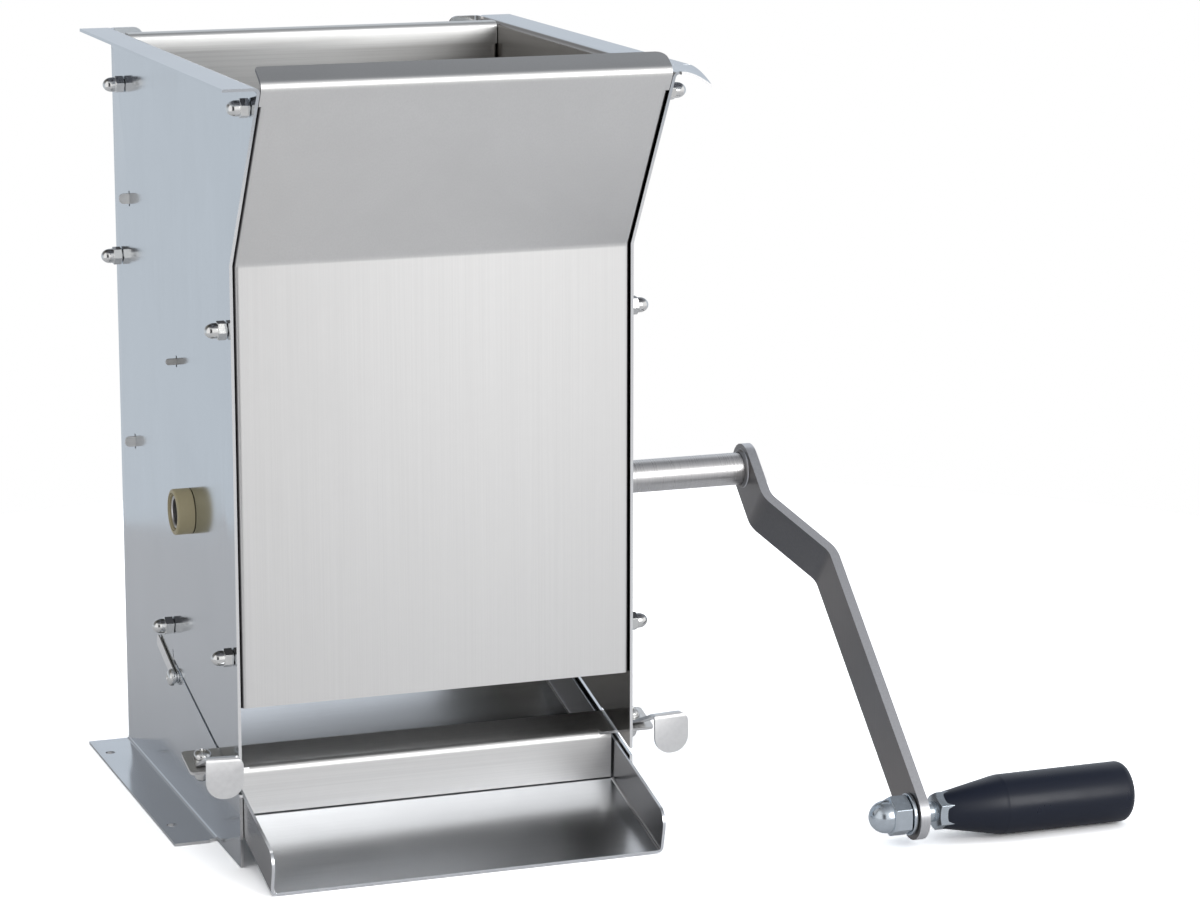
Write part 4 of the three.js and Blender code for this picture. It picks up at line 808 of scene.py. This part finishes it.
class Housing:
    """Walls, panels and the plates inside."""

    INSIDE = ("guide_plate", "breaker_plate", "rear_deflector")

    def build(self, workshop: Workshop) -> None:
        """Dresses the sheet metal."""
        workshop.keep(Finish.LEFT_WALL, ["left_wall"])
        workshop.keep(Finish.RIGHT_WALL, ["right_wall"])
        workshop.keep(Finish.PANEL, ["front_panel"])
        workshop.keep(Finish.HOPPER, ["back_panel"])
        workshop.keep(Finish.INNER_SHADE, self.INSIDE)


def middle(node: str) -> Vector:
    """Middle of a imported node's box, in millimetres."""
    low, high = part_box(node)
    return (Vector(low) + Vector(high)) / (2 * MM)


def outward(side: Side) -> Vector:
    """Direction away from the machine on one side."""
    return RIGHTWARD * side.value


def foot_of(node: str, direction: Vector) -> Vector:
    """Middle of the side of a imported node's box that a direction along X leaves from."""
    low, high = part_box(node)
    point = middle(node)
    point.x = (low if direction.x > 0 else high)[0] / MM
    return point


@dataclass
class Chute:
    """The chute and the rake that slides along it."""

    slope: float = 14.5  # of the chute, in degrees
    sheet: float = 1.5
    gap: float = 0.3
    pivot: Point = (112.0, -43.44, 46.66)  # off the middle plane, then Y and Z
    lever_nut: DomeNut = DomeNut(flats=8.0, hexagon=5.0, height=10.0, dome=3.7, straight=0.8)
    lever_screw: PanScrew = PanScrew(head=4.4, height=3.3, shank=2.5, length=7.8)
    chute_screw: PanScrew = PanScrew(head=4.4, height=3.2, shank=2.5, length=6.0)
    thin_edge: float = 0.15
    nut_edge: float = 0.12

    def build(self, workshop: Workshop) -> None:
        """Dresses the chute, the rake and their levers, and makes their screws and nuts."""
        workshop.keep(Finish.TRAY, ["chute"])
        workshop.keep(Finish.CROSS, ["rake"])
        centre = middle("chute").x
        angle = math.radians(self.slope)
        off = Vector((0.0, -math.sin(angle), math.cos(angle)))
        back = Vector((0.0, math.cos(angle), math.sin(angle)))
        for side in Side:
            label = side.label
            workshop.keep(Finish.LEVER, [f"{label}_thumb_lever"], self.thin_edge)
            workshop.keep(Finish.SPRING, [f"{label}_catch_leaf"], self.thin_edge)
            pivot = Vector((centre + side.value * self.pivot[0], *self.pivot[1:]))
            seat = pivot + off * (self.sheet * 1.5 + 2 * self.gap)
            screw = self.lever_screw.make(f"{label}_lever_pan_screw", seat, off, back)
            workshop.fit(screw, Finish.PLATED, f"{label}_lever_screw", "rake_slider")
            seat = pivot - off * (self.sheet * 0.5 + self.gap)
            nut = self.lever_nut.make(f"{label}_lever_dome_nut", seat, -off, back)
            workshop.fit(nut, Finish.PLATED, f"{label}_lever_nut", "rake_slider", self.nut_edge)
            node = f"{label}_chute_screw"
            seat = foot_of(node, -outward(side)) - outward(side) * self.chute_screw.height
            screw = self.chute_screw.make(f"{label}_chute_pan_screw", seat, outward(side), UP + back)
            workshop.fit(screw, Finish.PLATED, node, "housing")


@dataclass
class Fasteners:
    """Bolts and dome nuts of the walls."""

    nut: DomeNut = DomeNut(flats=8.3, hexagon=4.4, height=10.4, dome=3.75, straight=1.4)
    bolt_edge: float = 0.15
    nut_edge: float = 0.12
    turns: tuple[tuple[str, float], ...] = (  # how far each nut was left turned, in degrees
        ("top_front", -12.0), ("front", 22.0), ("low_front", -2.0), ("top_rear", -18.0), ("mid_rear", 20.0),
        ("low_rear", -8.0))

    def build(self, workshop: Workshop) -> None:
        """Dresses each bolt and makes each nut."""
        for side in Side:
            for place, turn in self.turns:
                workshop.keep(Finish.PLATED, [f"{side.label}_{place}_bolt"], self.bolt_edge)
                node = f"{side.label}_{place}_nut"
                seat = foot_of(node, outward(side))
                top = Matrix.Rotation(math.radians(-turn), 3, "X") @ UP
                nut = self.nut.make(f"{side.label}_{place}_dome_nut", seat, outward(side), top)
                workshop.fit(nut, Finish.NUT, node, "housing", self.nut_edge)


@dataclass
class Crank:
    """Shaft, drum, arm and handle."""

    blades: int = 6
    shaft_bore: float = 6.8
    end_chamfer: float = 0.5
    spindle: float = 5.0  # radius
    spindle_chamfer: float = 0.5
    collar_flats: float = 17.0
    collar: Pair = (21.9, 32.7)  # its ends, from the spindle's threaded end
    collar_edge: float = 0.25
    end_nut: DomeNut = DomeNut(flats=18.0, hexagon=9.5, height=19.5, dome=8.2, straight=1.5)
    end_nut_edge: float = 0.3
    washer_bore: float = 5.3
    washer_chamfer: float = 0.3
    bar_edge: float = 0.5

    def build(self, workshop: Workshop) -> None:
        """Dresses the turning pieces and makes the turned ones."""
        workshop.keep(Finish.BAR, ["crank_arm"], self.bar_edge)
        drum = ["drum_shell", "left_drum_disc", "right_drum_disc"]
        drum += [f"drum_blade_{number + 1}" for number in range(self.blades)]
        workshop.keep(Finish.DRUM, drum)
        self._shaft(workshop)
        self._spindle(workshop)
        self._washer(workshop)
        nut = self.end_nut.make("handle_dome_nut", foot_of("handle_nut", -RIGHTWARD), -RIGHTWARD, UP)
        workshop.fit(nut, Finish.ZINC, "handle_nut", "crank", self.end_nut_edge)

    def _shaft(self, workshop: Workshop) -> None:
        """The tube that the drum and the arm are fixed to."""
        low, high = (Vector(corner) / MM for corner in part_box("shaft"))
        length, radius, cut = high.x - low.x, (high.z - low.z) / 2, self.end_chamfer
        bore = self.shaft_bore
        turning = Turning(64)
        turning.round((0, bore + cut), (0, radius - cut), (cut, radius), (length, radius))
        turning.round((length, bore), (cut, bore))
        start = middle("shaft") - Vector((length / 2, 0, 0))
        shaft = turning.mesh("shaft_tube", start, RIGHTWARD, UP, closed=True)
        workshop.fit(shaft, Finish.TUBE, "shaft", "crank")

    def _spindle(self, workshop: Workshop) -> None:
        """The stud through the arm, with its hexagon collar."""
        low, high = (Vector(corner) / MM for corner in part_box("handle_spindle"))
        length, radius, cut = high.x - low.x, self.spindle, self.spindle_chamfer
        start, end = self.collar
        circle = self.collar_flats / 2 * Turning.CONE
        turning = Turning()
        turning.round((0, 0), (0, radius - cut), (cut, radius), (start, radius), (start, circle))
        turning.hexagon(start, self.collar_flats, circle, 1).hexagon(end, self.collar_flats, circle, -1)
        turning.round((end, circle), (end, radius), (length - cut, radius))
        turning.round((length, radius - cut), (length, 0))
        base = Vector((low.x, *middle("handle_washer").yz))
        spindle = turning.mesh("collar_spindle", base, RIGHTWARD, UP)
        workshop.fit(spindle, Finish.ZINC, "handle_spindle", "crank", self.collar_edge)

    def _washer(self, workshop: Workshop) -> None:
        """The washer under the dome nut."""
        low, high = (Vector(corner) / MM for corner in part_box("handle_washer"))
        thick, radius, cut = high.x - low.x, (high.z - low.z) / 2, self.washer_chamfer
        turning = Turning(64)
        turning.round((0, self.washer_bore), (0, radius - cut), (cut, radius), (thick - cut, radius))
        turning.round((thick, radius - cut), (thick, self.washer_bore))
        base = Vector((low.x, *middle("handle_washer").yz))
        washer = turning.mesh("flat_washer", base, RIGHTWARD, UP, closed=True)
        workshop.fit(washer, Finish.ZINC, "handle_washer", "crank")


@dataclass
class Bushes:
    """The moulded bearings that carry the shaft in the walls."""

    head: float = 8.7  # its depth outside the wall
    neck: float = 10.0  # radius
    bore: float = 8.8
    groove: Pair = (9.2, 9.6)  # its inner and outer radius
    depth: float = 0.6  # of the groove
    rounding: float = 1.1
    dish: Pair = (0.2, 0.5)  # how far the face falls inside the groove and at the bore

    def build(self, workshop: Workshop) -> None:
        """Makes both bushes."""
        for side in Side:
            node = f"{side.label}_bush"
            low, high = (Vector(corner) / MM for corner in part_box(node))
            length, radius = high.x - low.x, (high.z - low.z) / 2
            seat = length - self.head
            turning = Turning(72)
            turning.round((0, self.bore), (0, self.neck), (seat, self.neck), (seat, radius))
            turning.arc((length - self.rounding, radius - self.rounding), (self.rounding,) * 2, 90, 0, 5)
            inner, outer = self.groove
            turning.round((length, outer), (length - self.depth, outer), (length - self.depth, inner))
            turning.round((length - self.dish[0], inner), (length - self.dish[1], self.bore))
            bush = turning.mesh(f"{side.label}_moulded_bush", foot_of(node, outward(side)),
                                outward(side), UP, closed=True)
            workshop.fit(bush, Finish.NYLON, node, "housing")


@dataclass
class Grip:
    """The moulded handle: a cone, then a barrel with a rounded end."""

    neck: float = 9.2
    neck_rounding: float = 1.0
    shoulder: Pair = (31.0, 15.0)  # distance and radius where the cone meets the barrel
    softening: tuple[Pair, ...] = ((-0.5, -0.22), (0.0, -0.05), (0.8, 0.0))  # rings round that crease
    fillet: float = 1.6  # how far before the crease they begin
    barrel_end: float = 12.0  # where the barrel's straight part ends, before the rounding
    draft: float = 0.03  # how much thinner the barrel is there
    rounding: float = 4.5
    bore: float = 5.3
    solid_end: float = 13.7
    dimple: Pair = (0.35, 0.28)  # radius at its mouth and floor, as shares of the grip's
    dimple_depth: float = 0.6

    def build(self, workshop: Workshop) -> None:
        """Makes the grip on its spindle."""
        low, high = (Vector(corner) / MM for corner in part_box("handle_grip"))
        length, radius = high.x - low.x, (high.z - low.z) / 2
        crease, wide = self.shoulder
        slope = (wide - self.neck) / crease
        deep = length - self.solid_end
        turning = Turning(96)
        soft = self.neck_rounding
        turning.round((deep, 0), (deep, self.bore), (0, self.bore), (0, self.neck - soft))
        turning.arc((soft, self.neck - soft), (soft, soft), 180, 110, 3)
        turning.round((crease - self.fillet, wide - self.fillet * slope))
        turning.round(*((crease + along, wide + off) for along, off in self.softening))
        turning.round((length - self.rounding - self.barrel_end, radius - self.draft))
        turning.arc((length - self.rounding, radius - self.rounding), (self.rounding,) * 2, 90, 0, 10)
        mouth, floor = (radius * share for share in self.dimple)
        bottom = length - self.dimple_depth
        turning.round((length, mouth), (bottom, floor), (bottom, 0))
        base = Vector((low.x, *middle("handle_grip").yz))
        grip = turning.mesh("moulded_grip", base, RIGHTWARD, UP)
        workshop.fit(grip, Finish.PLASTIC, "handle_grip", "grip")


@dataclass(frozen=True)
class SoftBox:
    """A rectangular soft light."""

    name: str
    place: Point  # in metres
    aim: Point  # that it faces, in metres
    size: Pair  # width and height, in metres
    power: float  # in watts
    mirrored: bool = True  # whether polished faces show it

    def make(self) -> None:
        """Adds the light to the scene."""
        data = bpy.data.lights.new(self.name, "AREA")
        data.shape = "RECTANGLE"
        data.size, data.size_y = self.size
        data.energy = self.power
        light = bpy.data.objects.new(self.name, data)
        light.location = self.place
        light.rotation_euler = (Vector(self.aim) - Vector(self.place)).to_track_quat("-Z", "Y").to_euler()
        light.visible_glossy = self.mirrored
        bpy.context.scene.collection.objects.link(light)


@dataclass
class Studio:
    """Camera, lights, floor and surroundings.

    The surroundings are colours by height, from straight down (-1) to straight up (1).
    """

    focal: float = 115.73
    sensor: float = 36.0
    shift: Pair = (0.0049, -0.0003)
    nearest: float = 0.05  # that the camera sees, in metres
    position: Point = (-657.0, -1817.9, 584.5)
    pitch: float = 78.13
    yaw: float = -19.89
    boxes: tuple[SoftBox, ...] = (
        SoftBox("front", (0.9, -2.4, 1.0), (0.0, 0.0, 0.2), (0.8, 1.4), 13.5),
        SoftBox("table", (-0.3, 0.0, 2.4), (0.0, 0.0, 0.0), (1.8, 1.8), 11.0, mirrored=False))
    front_left: Stops = (
        (-1.0, (0.40, 0.40, 0.40)), (-0.55, (0.50, 0.50, 0.50)), (-0.35, (0.05, 0.05, 0.055)),
        (0.46, (0.05, 0.05, 0.055)), (0.62, (0.60, 0.60, 0.60)), (1.0, (0.28, 0.29, 0.31)))
    far_left: Colour = (0.95, 0.95, 0.96)
    front_right: Stops = (
        (-1.0, (0.45, 0.45, 0.45)), (-0.35, (0.70, 0.70, 0.71)), (0.0, (0.97, 0.97, 0.98)),
        (0.45, (1.0, 1.0, 1.0)), (0.66, (0.86, 0.87, 0.88)), (0.80, (0.56, 0.57, 0.59)),
        (0.90, (0.44, 0.45, 0.47)), (1.0, (0.28, 0.29, 0.31)))
    back_right: Stops = (
        (-1.0, (0.56, 0.60, 0.64)), (0.0, (0.60, 0.65, 0.71)), (0.20, (0.61, 0.66, 0.72)),
        (0.45, (0.68, 0.72, 0.77)), (0.72, (0.78, 0.82, 0.87)), (0.86, (0.32, 0.33, 0.35)),
        (0.95, (0.20, 0.21, 0.22)), (1.0, (0.28, 0.29, 0.31)))
    back_left: Stops = (
        (-1.0, (0.60, 0.64, 0.69)), (0.02, (0.60, 0.65, 0.70)), (0.15, (0.46, 0.48, 0.51)),
        (0.30, (0.34, 0.35, 0.37)), (0.45, (0.20, 0.20, 0.20)), (0.8, (0.12, 0.115, 0.10)),
        (1.0, (0.20, 0.20, 0.20)))
    back_parting: Pair = (-0.12, 0.12)  # X where the left part of the back gives way to the right
    far_parting: Pair = (-0.68, -0.56)  # X where the far left gives way to the front's left
    front_parting: Pair = (-0.33, -0.23)  # X where the front's left gives way to its right
    depth_parting: Pair = (-0.15, 0.15)  # Y where the front gives way to the back
    floor_radius: float = 0.75
    floor_rings: int = 64
    floor_tint: Colour = (0.78, 0.78, 0.79)
    floor_seen: Colour = (2.3, 2.3, 2.3)  # bright enough for the camera to see it as white
    surroundings_seen: Colour = (1.0, 1.0, 1.0)

    def build(self) -> None:
        """Makes everything round the object."""
        self._camera()
        self._floor()
        for box in self.boxes:
            box.make()
        self._world()
        bpy.context.scene.view_settings.view_transform = "Standard"

    def _camera(self) -> None:
        """The photograph's own viewpoint."""
        data = bpy.data.cameras.new("camera")
        data.lens = self.focal
        data.sensor_width = self.sensor
        data.shift_x, data.shift_y = self.shift
        data.clip_start = self.nearest
        camera = bpy.data.objects.new("camera", data)
        camera.location = Vector(self.position) * MM
        camera.rotation_euler = (math.radians(self.pitch), 0.0, math.radians(self.yaw))
        bpy.context.scene.collection.objects.link(camera)
        bpy.context.scene.camera = camera

    def _floor(self) -> None:
        """A plain round table top that fades into the white surroundings."""
        mesh = bpy.data.meshes.new("floor")
        step = 2 * math.pi / self.floor_rings
        rim = [(self.floor_radius * math.cos(step * i), self.floor_radius * math.sin(step * i), 0.0)
               for i in range(self.floor_rings)]
        mesh.from_pydata(rim, [], [tuple(range(self.floor_rings))])
        floor = bpy.data.objects.new("floor", mesh)
        bpy.context.scene.collection.objects.link(floor)
        material = bpy.data.materials.new("pale_floor")
        material.use_nodes = True
        wiring = Wiring(material.node_tree)
        matt = wiring.add("BsdfDiffuse", {"Color": (*self.floor_tint, 1.0)})
        seen = wiring.add("BsdfDiffuse", {"Color": (*self.floor_seen, 1.0)})
        camera = wiring.add("LightPath").outputs["Is Camera Ray"]
        mixed = wiring.add("MixShader", {0: camera, 1: matt.outputs[0], 2: seen.outputs[0]})
        wiring.add("OutputMaterial", {0: mixed.outputs[0]})
        mesh.materials.append(material)

    def _world(self) -> None:
        """A bright front, a cooler back and a dimmer ceiling, all seen as white."""
        world = bpy.data.worlds.new("studio")
        world.use_nodes = True
        bpy.context.scene.world = world
        wiring = Wiring(world.node_tree)
        direction = wiring.add("TexCoord").outputs["Generated"]
        axes = wiring.add("SeparateXYZ", {0: direction})
        x, y = axes.outputs["X"], axes.outputs["Y"]
        height = wiring.ranged(axes.outputs["Z"], 0.0, 1.0, (-1.0, 1.0))
        back = wiring.blended(wiring.ranged(x, 0.0, 1.0, self.back_parting),
                              wiring.ramp(height, self.back_left), wiring.ramp(height, self.back_right))
        left = wiring.blended(wiring.ranged(x, 0.0, 1.0, self.far_parting),
                              self.far_left, wiring.ramp(height, self.front_left))
        front = wiring.blended(wiring.ranged(x, 0.0, 1.0, self.front_parting),
                               left, wiring.ramp(height, self.front_right))
        colour = wiring.blended(wiring.ranged(y, 0.0, 1.0, self.depth_parting), front, back)
        lit = wiring.add("Background", {"Color": colour, "Strength": 1.0})
        seen = wiring.add("Background", {"Color": (*self.surroundings_seen, 1.0), "Strength": 1.0})
        camera = wiring.add("LightPath").outputs["Is Camera Ray"]
        mixed = wiring.add("MixShader", {0: camera, 1: lit.outputs[0], 2: seen.outputs[0]})
        wiring.add("OutputWorld", {0: mixed.outputs[0]})


def main() -> None:
    """Builds the dressed scratter and its studio."""
    logging.basicConfig(level=logging.INFO, format="%(name)s: %(message)s")
    for thing in list(bpy.data.objects):
        bpy.data.objects.remove(thing)
    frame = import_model()
    workshop = Workshop(frame["nodes"])
    Housing().build(workshop)
    Chute().build(workshop)
    Fasteners().build(workshop)
    Bushes().build(workshop)
    Crank().build(workshop)
    Grip().build(workshop)
    Studio().build()


if __name__ == "__main__":
    main()
